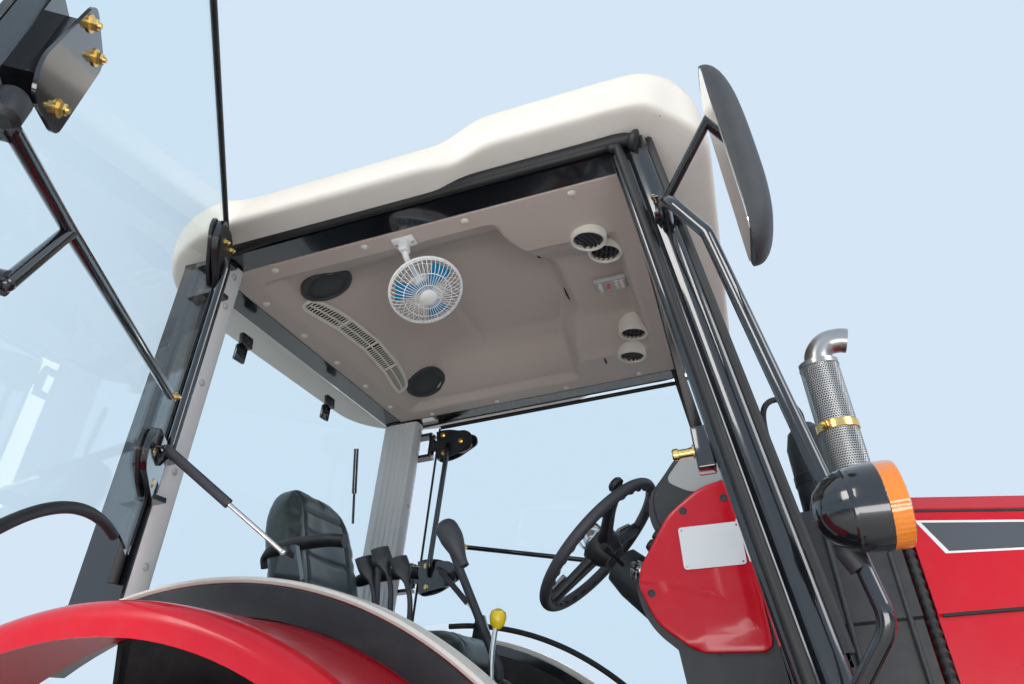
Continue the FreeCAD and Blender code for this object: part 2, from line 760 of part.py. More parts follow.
def roof_and_lining():
    """The roof is a stepped moulding over the rails, and the headliner a shallow dome inside them."""
    top = RAIL + size.roof_height
    back, front, half = size.roof_rear, size.roof_front, size.roof_half
    rail_top = RAIL + size.rail_height
    # height above the rail's underside, inset of the outline, corner radius
    steps = [(20, 10, 110), (105, 0, 120), (120, 26, 110), (185, 52, 110)]
    sections = [(RAIL + rise, rounded(back + inset, front - inset, half - inset, radius))
                for rise, inset, radius in steps]
    sections.append((top, rounded(back + 190, front - 190, half - 170, 90)))
    pillar_x = size.rear_pillar_top - size.rear_pillar_depth
    front_x = size.front_pillar_top
    publish(cut(loft("XY", sections), [
        box(back + 60, front - 60, -(HALF + 8), HALF + 8, RAIL, rail_top + GAP),
        box(pillar_x + 75, front_x + 15, -(INNER - 5), INNER - 5, RAIL, top - 50),
    ]), "roof")
    x0, x1, half = pillar_x + 70 + GAP, front_x + 20 - GAP, INNER - GAP
    wall = size.liner_wall
    dome = RAIL + size.dome_height
    # height, inset, corner radius
    outer = [(RAIL, 60, 60), (RAIL + 90, 70, 90), (dome + wall, 190, 120)]
    inner = [(RAIL - 10, 60 + wall, 50), (RAIL + 85, 70 + wall, 80), (dome, 200, 110)]
    shells = []
    for rows in (outer, inner):
        shells.append(loft("XY", [(z, rounded(x0 + inset, x1 - inset, half - inset, radius))
                                  for z, inset, radius in rows]))
    slab = box(x0, x1, -half, half, RAIL, rail_top)
    publish(cut(fused([slab, shells[0]]), [shells[1]]), "headliner")


HINGE_WAY = Vector(float(hinge_x(RAIL) - hinge_x(RAIL - 1000)), 0, 1000).normalize()
TOP_X = hinge_x(RAIL)


def door_spot(x, y, z):
    """A point of the closed left door, from its upper hinge end. Y runs outward from the pane."""
    return (as_size(x) - TOP_X, as_size(y), as_size(z) - RAIL)


def hang(item, name, angle):
    """Set a piece drawn in door_spot's axes on the left hinge line, turned open by an angle."""
    return publish(item, name, x=TOP_X, y=size.door_plane, z=RAIL, axis=HINGE_WAY, angle=angle)


def hang_right(item, name, angle):
    """The same on the right: a reflected piece, turned the other way."""
    moved = kept([reflected(item)])
    moved.Label = name
    moved.Placement = Placement(Vector(0, 0, 0), Rotation(HINGE_WAY, -float(angle)))
    bind_base(moved, size.datum_x + TOP_X, size.datum_y - size.door_plane, RAIL)
    bind(moved, "Placement.Rotation.Angle", -as_size(angle))
    SUBPARTS.append(moved)
    return moved


def door_glass():
    """Frameless glass whose lower edge follows the fender, cut for its hinge bolts."""
    high, low = RAIL - 5, FLOOR + size.door_foot
    radius = size.sill_radius + 60
    back = 22
    drop = low - AXLE_Z
    cut_x = root(radius * radius - drop * drop)
    heel = FLOOR + 640
    crown = 0.55 * radius
    corners = [
        (hinge_x(high) + back, high),
        (hinge_x(heel) + back, heel, crown, AXLE_Z + math.sqrt(1 - 0.55 ** 2) * radius),
        (cut_x, low),
        (front_post(low) + 30, low),
        (front_post(high) + 30, high),
    ]
    local = []
    for corner in corners:
        moved = [corner[0] - TOP_X, as_size(corner[1]) - RAIL]
        if len(corner) == 4:
            moved += [as_size(corner[2]) - TOP_X, as_size(corner[3]) - RAIL]
        local.append(tuple(moved))
    return plate("XZ", local, 0, size.glass)


def door_plate(drop):
    """A thick rounded plate on the inside of the glass, with its hinge knuckle."""
    spot = hinge_x(RAIL - drop) - TOP_X
    inner = (-14, -GAP)
    web = plate("XZ", [
        (spot + 30, -62 - drop), (spot + 150, -48 - drop, spot + 192, -drop), (spot + 150, 48 - drop),
        (spot + 30, 62 - drop),
    ], *inner)
    axle = Vector(float(spot), 0, -float(drop))
    low, high = axle - HINGE_WAY * 35, axle + HINGE_WAY * 35
    far_low, far_high = axle - HINGE_WAY * 60, axle + HINGE_WAY * 60
    knuckle = fused([rod(low, high, 15), box(spot, spot + 40, *inner, -22 - drop, 22 - drop)])
    return fused([web, cut(knuckle, [rod(far_low, far_high, size.hinge_pin_dia / 2 + size.pin_play)])])


def door_fittings():
    """Hinge plates, the bent tube between them, the forked pull bar, the latch and the strut's stud."""
    upper, lower = size.upper_hinge_drop, size.lower_hinge_drop
    x0, x1 = float(hinge_x(RAIL - upper) - TOP_X), float(hinge_x(RAIL - lower) - TOP_X)
    tube_y = -30
    tube = bent_tube("door_tube", [
        (x0 + 80, -10, -float(upper)), (x0 + 84, tube_y, -float(upper) - 30), (x1 + 84, tube_y, 30 - float(lower)),
        (x1 + 80, -10, -float(lower)),
    ], 11)
    heel = door_spot(125, tube_y, FLOOR + 905)
    fork = door_spot(820, tube_y, FLOOR + 740)
    upper_end = door_spot(1010, tube_y, FLOOR + 700)
    lower_end = door_spot(880, tube_y, FLOOR + 610)
    bars = [rod(heel, fork, 9), rod(fork, upper_end, 9), rod(fork, lower_end, 9), ball(fork, 9)]
    feet = []
    for x, z in ((1010, 700), (880, 610)):
        foot = door_spot(x, tube_y, FLOOR + z)
        seat = door_spot(x, -GAP, FLOOR + z)
        feet.append(rod(foot, seat, 14))
        feet.append(ball(foot, 9))
    latch = [
        box(*[value - TOP_X for value in (995, 1065)], -26, -GAP, FLOOR + 715 - RAIL, FLOOR + 860 - RAIL),
        box(*[value - TOP_X for value in (1010, 1050)], -52, -20, FLOOR + 740 - RAIL, FLOOR + 835 - RAIL),
    ]
    eye = STRUT_EYE
    stud = rod((eye[0], -10, eye[2]), (eye[0], eye[1], eye[2]), 3.5)
    return fused([door_plate(upper), door_plate(lower), tube, stud, ball(eye, 6)] + bars + feet + latch)


STRUT_EYE = door_spot(hinge_x(RAIL - size.strut_drop) + size.strut_reach, -26, RAIL - size.strut_drop)


def strut_line(angle):
    """Where the sill's ball lies in the door's axes with the door open by an angle."""
    foot = Vector(float(size.strut_foot_x - TOP_X), float(size.strut_foot_y - size.door_plane),
                  float(CREST + size.strut_foot_rise - RAIL))
    return Rotation(HINGE_WAY, -float(angle)).multVec(foot)


def swing_axis():
    """The axis about which the strut comes nearest to following the sill's ball."""
    eye = vec(STRUT_EYE)
    ways = [(strut_line(share * float(size.door_open)) - eye).normalize() for share in (0, 0.5, 1)]
    axis = (ways[1] - ways[0]).cross(ways[2] - ways[1]).normalize()
    return axis if axis.z > 0 else axis * -1


def strut_pieces(angle):
    """A gas strut from the door's ball to the sill's, in the door's axes."""
    eye = vec(STRUT_EYE)
    foot = strut_line(angle)
    length = (foot - eye).Length
    way = (foot - eye).normalize()
    axis = swing_axis()
    tube_end = 14 + float(size.strut_tube)
    wall = fused([rod(eye + axis * -7, eye + axis * 7, 10), rod(eye + way * 8, eye + way * 16, 5)])
    room = box(STRUT_EYE[0] - 30, STRUT_EYE[0] + 30, STRUT_EYE[1] - 4.5, STRUT_EYE[1] + 30,
               STRUT_EYE[2] - 30, STRUT_EYE[2] + 30)
    socket = cut(wall, [room, ball(STRUT_EYE, 6.2)])
    neck = rod(eye + way * 7.5, eye + way * 16, 3.6)
    sleeve = rod(eye + way * 14, eye + way * tube_end, size.strut_dia / 2)
    bore = rod(eye + way * 30, eye + way * (tube_end + 1), size.strut_rod_dia / 2 + size.pin_play)
    tube = cut(fused([socket, neck, sleeve]), [bore])
    bar = fused([rod(eye + way * (length - 235), foot, size.strut_rod_dia / 2), ball(foot, 7)])
    return tube, bar


def doors():
    """Both doors and their struts, the left one closed and the right one open."""
    pane, fittings = door_glass(), door_fittings()
    hang_right(pane, "door_right", size.door_open)
    hang_right(fittings, "door_fittings_right", size.door_open)
    tube, bar = strut_pieces(size.door_open)
    hang_right(tube, "strut_tube_right", size.door_open)
    hang_right(bar, "strut_rod_right", size.door_open)
    tube, bar = strut_pieces(0)
    hang(kept([tube]), "strut_tube_left", 0)
    hang(kept([bar]), "strut_rod_left", 0)
    hang(kept([pane]), "door_left", 0)
    hang(kept([fittings]), "door_fittings_left", 0)
    ears = []
    for drop in (size.upper_hinge_drop, size.lower_hinge_drop):
        spot = Vector(float(hinge_x(RAIL - drop)), float(size.door_plane), float(RAIL - drop))
        ears.append(rod(spot - HINGE_WAY * 52, spot + HINGE_WAY * 52, size.hinge_pin_dia / 2))
        for end in (-1, 1):
            ear = spot + HINGE_WAY * (end * 47)
            ears.append(box(ear.x - 80, ear.x + 12, HALF, size.door_plane + 12, ear.z - 6, ear.z + 6))
    left = fused(ears)
    publish(pair(left), "door_hinges")


def fixed_glass():
    """Windscreen and rear window, on the outer faces of the posts."""
    low, high = FLOOR + size.windscreen_foot, RAIL + 60
    ahead = size.front_pillar_depth + GAP
    thick = size.glass
    foot, top = front_post(low) + ahead, front_post(high) + ahead
    publish(plate("XZ", [(foot, low), (foot + thick, low), (top + thick, high), (top, high)],
                  -(HALF - 10), HALF - 10), "windscreen")
    low = SILL + 43
    behind = size.rear_pillar_depth + GAP
    foot, top = rear_post(low) - behind, rear_post(RAIL) - behind
    publish(plate("XZ", [(foot, low), (top, RAIL), (top - thick, RAIL), (foot - thick, low)],
                  -(HALF - 10), HALF - 10), "rear_window")


def fenders():
    """Each fender is a rolled section swept round the tyre, with a flange up to the cab sill."""
    radius, wall = size.fender_radius, size.fender_wall
    inner, outer = HALF + GAP, size.fender_outer
    roll = 34
    bend = roll * (1 - math.sqrt(0.5))
    inside = roll - wall
    turn = inside * math.sqrt(0.5)
    section = [
        (inner, radius), (outer - roll, radius, outer - bend, radius - bend), (outer, radius - roll),
        (outer, radius - 62), (outer - wall, radius - 62),
        (outer - wall, radius - roll, outer - roll + turn, radius - roll + turn),
        (outer - roll, radius - wall), (inner, radius - wall),
    ]
    skin = turned((0, 0, AXLE_Z), section, 148, -72)
    flange = arch(radius - wall, size.sill_radius, 24, 117, inner, inner + wall)
    left = publish(fused([skin, flange]), "fender_left")
    mirrored(left, "fender_right")


HOOD_X = size.bonnet_rear + 30
HOOD_Z = FLOOR + size.bonnet_top - size.hood_pin_drop


def hood_section(half, foot, band, crown, step=6):
    """A bonnet outline across the tractor: pressed lower band, flat flank, soft shoulder, arched top."""
    shoulder = crown - 34
    return [
        (step - half, foot), (half - step, foot), (half - step, band - step), (half, band),
        (half, shoulder - 30), (half - 30, shoulder, 0, crown), (30 - half, shoulder), (-half, shoulder - 30),
        (-half, band), (step - half, band - step),
    ]


def hood_shell(rows, wall, ends):
    """A hollow lofted from the sections, open below and at the ends that are carried past it."""
    outer = loft("YZ", [(x, hood_section(*sizes)) for x, *sizes in rows])
    inner = []
    for (x, half, foot, band, crown), shift in zip(rows, ends):
        inner.append((x + shift, hood_section(half - wall, foot - 20, band, crown - wall, 5)))
    return cut(outer, [loft("YZ", inner)])


def front_body():
    """Bonnet with its grille, the cowl behind it, exhaust and air intake."""
    half, wall = size.bonnet_half, size.bonnet_wall
    rear, front = size.bonnet_rear, size.bonnet_front
    low, top, nose = FLOOR + size.bonnet_foot, FLOOR + size.bonnet_top, FLOOR + size.bonnet_nose_top
    band = FLOOR + 392
    # station, half width, lower edge, top of the pressed band, crown
    rows = [
        (rear, half, low, band, top),
        (front - 160, half - 14, low, band - 24, nose),
        (front - 50, half - 44, low, band - 60, nose - 36),
        (front, half - 80, low + 30, band - 110, nose - 96),
    ]
    shell = hood_shell(rows, wall, (-10, 0, 0, -wall))
    lamp_z, mouth_low, mouth_top = low + 215, low + 90, low + 320
    mouth = half - 120
    opening = box(front - 100, front + 20, -mouth, mouth, mouth_low, mouth_top)
    lugs = []
    for side in (-1, 1):
        for offset in (-14, 14):
            y = side * 200 + offset
            lug = box(HOOD_X - 10, HOOD_X + 10, y - 4, y + 4, HOOD_Z - 10, HOOD_Z + 20)
            lugs.append(cut(lug, [rod((HOOD_X, y - 30, HOOD_Z), (HOOD_X, y + 30, HOOD_Z), 5 + size.pin_play)]))
    publish(fused([cut(shell, [opening])] + lugs), "bonnet")
    frame = box(front - 30, front - 4, GAP - mouth, mouth - GAP, mouth_low + GAP, mouth_top - GAP)
    slots = []
    for index in range(9):
        y = (index - 4) * 20.0
        slots.append(box(front - 40, front + 10, y - 6, y + 6, mouth_low + 22, mouth_top - 22))
    lamps = []
    for side in (-1, 1):
        y = side * 158
        lamps.append(rod((front - 30, y, lamp_z), (front + 6, y, lamp_z), 58))
    publish(fused([cut(frame, slots)] + lamps), "grille")
    cowl_front = rear - size.hood_gap
    back_low, back_high = front_post(low) + 97, front_post(top) + 97
    back = back_high
    rows = [(back, half, low, band, top - 2), (cowl_front, half, low, band, top - 2)]
    collar = hood_shell(rows, wall, (-10, 10))
    wedge = plate("XZ", [(back - 20, low - 5), (back_low, low - 5), (back_low, low), (back_high, top + 5),
                         (back - 20, top + 5)], -half - 20, half + 20)
    hinges = []
    for side in (-1, 1):
        y0, y1 = side * 200 - 5, side * 200 + 5
        arm_x = cowl_front - 30
        hinges += [
            box(arm_x, HOOD_X + 8, y0, y1, HOOD_Z - 65, HOOD_Z - 50),
            box(HOOD_X - 6, HOOD_X + 6, y0, y1, HOOD_Z - 60, HOOD_Z + 6),
            box(arm_x, arm_x + 10, y0, y1, HOOD_Z - 65, top - 19),
            rod((HOOD_X, y0 - 20, HOOD_Z), (HOOD_X, y1 + 20, HOOD_Z), 5),
        ]
    x, y = size.exhaust_x, size.exhaust_y
    radius = size.exhaust_dia / 2
    can, can_x, can_y = size.intake_dia / 2, 1340, -110
    seat = top - 60
    holes = [rod((x, y, seat), (x, y, top + 20), radius + GAP),
             rod((can_x, can_y, seat), (can_x, can_y, top + 20), can + GAP)]
    publish(fused([cut(collar, [wedge] + holes)] + hinges), "cowl")
    tip = FLOOR + size.exhaust_top
    shield = cut(rod((x, y, seat), (x, y, tip - 62), radius), [rod((x, y, tip - 200), (x, y, tip), radius - 4)])
    elbow = bent_tube("elbow", [(x, y, tip - 210), (x, y, tip - 22), (x + 78, y, tip + 4)], 29)
    publish(fused([shield, elbow]), "exhaust")
    x, y = can_x, can_y
    publish(fused([
        rod((x, y, seat), (x, y, FLOOR + 830), can),
        taper((x, y, FLOOR + 830), (x, y, FLOOR + 868), can, 0.8 * can),
        taper((x, y, FLOOR + 868), (x, y, FLOOR + 890), 0.8 * can, 0.4 * can),
    ]), "air_intake")


TILT = math.radians(41)
WHEEL_WAY = Vector(-math.sin(TILT), 0, math.cos(TILT))
WHEEL_HUB = Vector(762, 0, float(FLOOR) + 688)


def controls():
    """Dash console with its hood and column, steering wheel and levers."""
    console = plate("XZ", [
        (930, FLOOR), (1180, FLOOR), (1150, FLOOR + 440), (1130, FLOOR + 746), (1031, FLOOR + 713),
        (944, FLOOR + 630), (880, FLOOR + 523, 893, FLOOR + 452), (948, FLOOR + 387), (960, FLOOR + 240),
    ], -260, 260)
    hood = plate("XZ", [
        (1020, FLOOR + 700), (1131, FLOOR + 736), (1115, FLOOR + 811), (1073, FLOOR + 860, 1042, FLOOR + 858),
        (1017, FLOOR + 842), (938, FLOOR + 760, 930, FLOOR + 742), (944, FLOOR + 640),
    ], -170, 170)
    column = rod(WHEEL_HUB - WHEEL_WAY * 60, WHEEL_HUB - WHEEL_WAY * 260, 28)
    stub = rod(WHEEL_HUB - WHEEL_WAY * 61, WHEEL_HUB - WHEEL_WAY * 20, 11)
    publish(fused([console, hood, column, stub]), "dash")
    radius = size.wheel_rim_dia / 2
    across = Vector(0, 1, 0)
    upward = WHEEL_WAY.cross(across)
    pieces = [ring(WHEEL_HUB, WHEEL_WAY, radius, 15), rod(WHEEL_HUB - WHEEL_WAY * 55, WHEEL_HUB + WHEEL_WAY * 5, 36)]
    for angle in (90, 210, 330):
        turn = math.radians(angle)
        way = across * math.cos(turn) + upward * math.sin(turn)
        pieces.append(rod(WHEEL_HUB - WHEEL_WAY * 20 + way * 20, WHEEL_HUB + way * float(radius), 11))
    bore = rod(WHEEL_HUB - WHEEL_WAY * 60, WHEEL_HUB - WHEEL_WAY * 19.9, 11 + size.pin_play)
    publish(cut(fused(pieces), [bore]), "steering_wheel")
    stick = bent_tube("stick", [(560, -330, FLOOR), (560, -330, FLOOR + 380), (455, -330, FLOOR + 660)], 10)
    small = bent_tube("small", [(300, -400, FLOOR + 280), (300, -410, FLOOR + 500), (307, -420, FLOOR + 620)], 7)
    tower = plate("XZ", [(180, FLOOR), (620, FLOOR), (620, FLOOR + 250), (560, FLOOR + 300), (240, FLOOR + 300),
                         (180, FLOOR + 250)], -430, -300)
    publish(fused([stick, small, tower, ball((455, -330, FLOOR + 680), 26), ball((307, -420, FLOOR + 628), 16)]),
            "levers")


def seat():
    """Cushion and backrest with side bolsters, on a pan and a suspension pedestal."""
    top = FLOOR + size.seat_height
    wide = size.seat_width / 2
    low = top - 110
    publish(plate("YZ", [
        (-wide, low), (wide, low), (wide, top - 30, wide - 6, top - 4), (wide - 34, top), (wide - 100, top - 22),
        (100 - wide, top - 22), (34 - wide, top, 6 - wide, top - 4), (-wide, top - 30),
    ], -50, 430), "seat_cushion")
    publish(plate("XZ", [
        (-130, low), (-55, low), (-55, top + 80), (-106, top + 440, -122, top + 486), (-160, top + 500),
        (-190, top + 490, -204, top + 460), (-196, top + 420),
    ], 10 - wide, wide - 10), "seat_back")
    pan = box(-135, 400, 30 - wide, wide - 30, low - 20, low - GAP)
    pedestal = plate("XZ", [(-30, FLOOR), (310, FLOOR), (280, low - 20), (0, low - 20)], -140, 140)
    publish(fused([pan, pedestal]), "seat_base")


def outside():
    """Mirrors, grab rails with their lamps, steps and fuel tank."""
    wall = HALF + GAP
    arm = bent_tube("arm", [(1110, wall, RAIL - 170), (1110, 860, RAIL - 170), (1240, 905, RAIL - 60),
                            (1262, 905, RAIL - 200)], 11)
    glass = plate("XZ", [(1245, RAIL - 485), (1270, RAIL - 500), (1290, RAIL - 480), (1290, RAIL - 85),
                         (1270, RAIL - 68), (1245, RAIL - 85)], 820, 990)
    publish(pair(fused([arm, glass])), "mirrors")
    rail = bent_tube("rail", [(1115, wall, RAIL - 260), (1115, 790, RAIL - 260), (1180, 810, RAIL - 390),
                              (1290, 810, FLOOR + 340), (1212, 740, FLOOR + 240), (1212, wall, FLOOR + 240)], 13)
    lamp_z = FLOOR + 495
    lamp = [rod((1275, 840, lamp_z), (1345, 840, lamp_z), 60), taper((1240, 840, lamp_z), (1275, 840, lamp_z), 36, 60)]
    publish(pair(fused([rail] + lamp)), "grab_rails")
    pieces = []
    for drop in (220, -60):
        level = AXLE_Z - drop
        pieces.append(box(800, 1100, 620, 900, level, level + 20))
        pieces.append(box(800, 806, 620, 900, level, level + 60))
    for x in (880, 1080):
        pieces.append(box(x, x + 20, 620, 640, AXLE_Z - 220, UNDER - GAP))
    publish(pair(fused(pieces)), "steps")
    side = size.gearbox_width / 2 + GAP
    low = AXLE_Z - size.sump_drop
    publish(plate("YZ", [(side, low + 40), (side + 40, low), (530, low), (560, low + 30), (560, UNDER - 30),
                         (530, UNDER - GAP), (side, UNDER - GAP)], 760, 1180), "fuel_tank")


FAN_AT = Vector(450, -450, float(RAIL) - 110)
FAN_WAY = Vector(0.35, -0.35, -0.87).normalize()


def fan():
    """A small cage fan on a bent stem under the headliner, with a free turning rotor."""
    side = Vector(0, 1, 0).cross(FAN_WAY).normalize()
    upward = FAN_WAY.cross(side)
    stem_top = float(RAIL) - float(GAP)
    pieces = [
        ring(FAN_AT, FAN_WAY, 100, 4),
        rod(FAN_AT - FAN_WAY * 62, FAN_AT - FAN_WAY * 20, 26),
        rod(FAN_AT + FAN_WAY * 36, FAN_AT + FAN_WAY * 44, 22),
        rod(FAN_AT - FAN_WAY * 21, FAN_AT, 4),
        bent_tube("stem", [FAN_AT - FAN_WAY * 40, (430, -545, stem_top - 35), (430, -545, stem_top)], 9),
    ]
    for index in range(6):
        turn = math.radians(60 * index)
        out = side * math.cos(turn) + upward * math.sin(turn)
        pieces.append(rod(FAN_AT - FAN_WAY * 50 + out * 20, FAN_AT + out * 100, 2))
        pieces.append(rod(FAN_AT + FAN_WAY * 40, FAN_AT + out * 100, 2))
    publish(fused(pieces), "fan")
    hub = rod((0, 0, -14), (0, 0, 12), 20)
    blades = [hub]
    for index in range(3):
        turn = math.radians(120 * index)
        c, s = math.cos(turn), math.sin(turn)
        corners = [(15 * c + 12 * s, 15 * s - 12 * c), (84 * c + 30 * s, 84 * s - 30 * c),
                   (84 * c - 30 * s, 84 * s + 30 * c), (15 * c - 12 * s, 15 * s + 12 * c)]
        blades.append(plate("XY", corners, -2, 2))
    rotor = cut(fused(blades), [rod((0, 0, -30), (0, 0, 0.1), 4 + size.pin_play)])
    rotor.Label = "fan_rotor"
    rotor.Placement = Placement(Vector(0, 0, 0), Rotation(Vector(0, 0, 1), FAN_WAY))
    bind_base(rotor, size.datum_x + FAN_AT.x, size.datum_y + FAN_AT.y, FAN_AT.z)
    SUBPARTS.append(rotor)


def hitch():
    """Three point linkage, drawbar and the lamps on the fenders."""
    spread = size.link_spread / 2
    reach = size.link_reach
    inner = 215
    start, end = Vector(LINK_X, inner, 0), Vector(-float(reach), float(spread), 0)
    way = (end - start).normalize()
    across = Vector(-way.y, way.x, 0) * 9
    corners = [tuple(spot)[:2] for spot in (start + across, end + across, end - across, start - across)]
    bar = fused([
        plate("XY", corners, LINK_Z - 28, LINK_Z + 28),
        rod((-reach, spread - 22, LINK_Z), (-reach, spread + 22, LINK_Z), 38),
        rod((LINK_X, inner - 20, LINK_Z), (LINK_X, inner + 20, LINK_Z), 34),
    ])
    link = cut(bar, [
        rod((-reach, spread - 60, LINK_Z), (-reach, spread + 60, LINK_Z), size.ball_bore / 2),
        rod((LINK_X, inner - 60, LINK_Z), (LINK_X, inner + 60, LINK_Z), 16 + size.pin_play),
    ])
    tie_x = -560
    share = (LINK_X - tie_x) / (float(reach) + LINK_X)
    tie_y = inner + share * (float(spread) - inner)
    tie = rod((tie_x, 12 - tie_y, LINK_Z), (tie_x, tie_y - 12, LINK_Z), 12)
    publish(fused([link, reflected(link), tie]), "lower_links")
    arm_x = ROCK_X - 240
    arm = plate("XZ", [(ROCK_X, ROCK_Z - 44), (ROCK_X, ROCK_Z + 44), (arm_x, ROCK_Z + 26, arm_x - 26, ROCK_Z),
                       (arm_x, ROCK_Z - 26)], 220, 250)
    shaft = rod((ROCK_X, -250, ROCK_Z), (ROCK_X, 250, ROCK_Z), 40)
    bore = rod((arm_x, -300, ROCK_Z), (arm_x, 300, ROCK_Z), 12 + size.pin_play)
    publish(cut(fused([shaft, arm, reflected(arm)]), [bore]), "lift_arms")
    pin = rod((arm_x, 215, ROCK_Z), (arm_x, 290, ROCK_Z), 12)
    drop = rod((arm_x, 275, ROCK_Z), (tie_x, tie_y + 40, LINK_Z + 20), 14)
    publish(pair(fused([pin, drop])), "lift_rods")
    draw_z = AXLE_Z - size.drawbar_drop
    hole = rod((-720, 0, draw_z - 60), (-720, 0, draw_z + 60), size.drawbar_bore / 2)
    bar = plate("XY", [(-700, -40), (100, -40), (100, 40), (-700, 40, -756, 0)], draw_z - 16, draw_z + 16)
    clevis = plate("XY", [(-720, -40), (-600, -40), (-600, 40), (-720, 40, -760, 0)], draw_z - 16, draw_z + 16)
    hanger = plate("YZ", [(-120, draw_z - 30), (120, draw_z - 30), (120, AXLE_Z - 230 - GAP),
                          (-120, AXLE_Z - 230 - GAP)], -200, -150)
    publish(cut(fused([bar, clevis, hanger]), [hole]), "drawbar")
    publish(fused([
        box(-300, -260 - GAP, -40, 40, AXLE_Z + 100, AXLE_Z + 200),
        rod((-280, 0, AXLE_Z + 150), (-330, 0, AXLE_Z + 50), 18),
    ]), "top_link")
    radius = size.fender_radius
    seat = kept([box(-60, 60, 745, 855, radius + GAP, radius + 40)])
    seat.Placement = Placement(Vector(0, 0, 0), Rotation(Vector(0, 1, 0), -60))
    bind_base(seat, 0, 0, AXLE_Z)
    publish(pair(seat), "rear_lamps")


wheels()
front_running_gear()
driveline()
cab_shell()
cab_floor()
roof_and_lining()
doors()
fixed_glass()
fenders()
front_body()
controls()
seat()
outside()
fan()
hitch()


def check(items):
    for item in doc.Objects:
        for word in item.State:
            if word in ("Invalid", "Error"):
                raise ValueError(f"{item.Label} is {word}")
    for item in items:
        if item.Shape.isNull() or not item.Shape.isValid():
            raise ValueError(f"{item.Label} has no valid shape")


doc.recompute()
check(SUBPARTS)
os.makedirs("parts", exist_ok=True)
for item in SUBPARTS:
    item.Shape.exportStep(f"parts/{item.Label}.step")
whole = SUBPARTS[0].Shape.BoundBox
for item in SUBPARTS:
    whole.add(item.Shape.BoundBox)
print(len(SUBPARTS), "sub-parts, box", whole)
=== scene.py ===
import bmesh
import bpy
import json
import math
from mathutils import Matrix, Vector, noise
from mathutils.bvhtree import BVHTree


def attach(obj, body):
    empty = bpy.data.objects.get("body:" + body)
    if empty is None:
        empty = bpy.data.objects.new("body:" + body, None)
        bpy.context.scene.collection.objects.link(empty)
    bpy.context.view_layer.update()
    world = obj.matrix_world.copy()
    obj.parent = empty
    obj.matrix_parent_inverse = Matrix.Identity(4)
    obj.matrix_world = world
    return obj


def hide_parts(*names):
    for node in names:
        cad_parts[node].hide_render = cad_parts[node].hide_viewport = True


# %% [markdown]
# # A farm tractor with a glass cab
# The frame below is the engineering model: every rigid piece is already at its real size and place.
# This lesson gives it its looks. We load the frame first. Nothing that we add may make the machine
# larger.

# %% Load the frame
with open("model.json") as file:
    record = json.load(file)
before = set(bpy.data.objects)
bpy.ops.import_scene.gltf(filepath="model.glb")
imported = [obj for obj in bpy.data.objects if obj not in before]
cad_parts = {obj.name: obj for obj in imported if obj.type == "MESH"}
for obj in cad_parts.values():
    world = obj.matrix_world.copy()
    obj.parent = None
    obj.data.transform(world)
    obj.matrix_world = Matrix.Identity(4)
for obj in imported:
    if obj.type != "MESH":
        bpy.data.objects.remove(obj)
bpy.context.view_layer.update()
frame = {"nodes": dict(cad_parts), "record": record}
nodes = frame["nodes"]

# %% [markdown]
# All places on a tractor are easiest to give from its rear axle and its middle plane. The frame's origin is
# elsewhere, so one small function turns such a place into the frame's own.

# %% Places on the tractor
DATUM = Vector((-0.949, 0.458, 0.0))


def spot(x, y, z):
    """Metres forward of the rear axle, left of the middle and above the ground."""
    return DATUM + Vector((x, y, z))


print("rear axle at", [round(value, 3) for value in spot(0, 0, 0.7)])

# %% [markdown]
# The camera stands low beside the open right door and looks up through the cab, with a wide lens. Its three
# turns were worked out from the straight edges of the cab.

# %% Camera
scene = bpy.context.scene
YAW, PITCH, ROLL = (math.radians(turn) for turn in (105.4237, 28.9953, -4.5184))
ahead = Vector((math.cos(PITCH) * math.cos(YAW), math.cos(PITCH) * math.sin(YAW), math.sin(PITCH)))
level = Vector((math.sin(YAW), -math.cos(YAW), 0))
over = level.cross(ahead)
camera_right = math.cos(ROLL) * level + math.sin(ROLL) * over
camera_up = -math.sin(ROLL) * level + math.cos(ROLL) * over
camera_data = bpy.data.cameras.new("low_side_camera")
camera_data.lens = 25.3125
camera_data.sensor_width = 36
camera_data.clip_start = 0.02
camera = bpy.data.objects.new("low_side_camera", camera_data)
scene.collection.objects.link(camera)
place = spot(1.104, -1.978, 1.295)
turn = Matrix((camera_right, camera_up, -ahead)).transposed().to_4x4()
camera.matrix_world = Matrix.Translation(place) @ turn
scene.camera = camera
print("camera at", [round(value, 3) for value in place])

# %% [markdown]
# ## Finishes
# A painted panel, a moulded plastic and a bright metal differ in a few things only: how even the colour is,
# how rough the skin is, and what grain stands on it. One function can therefore make most finishes here.
# Its noise is measured in metres on the object, so a grain keeps its real size on every piece.

# %% One function for most finishes


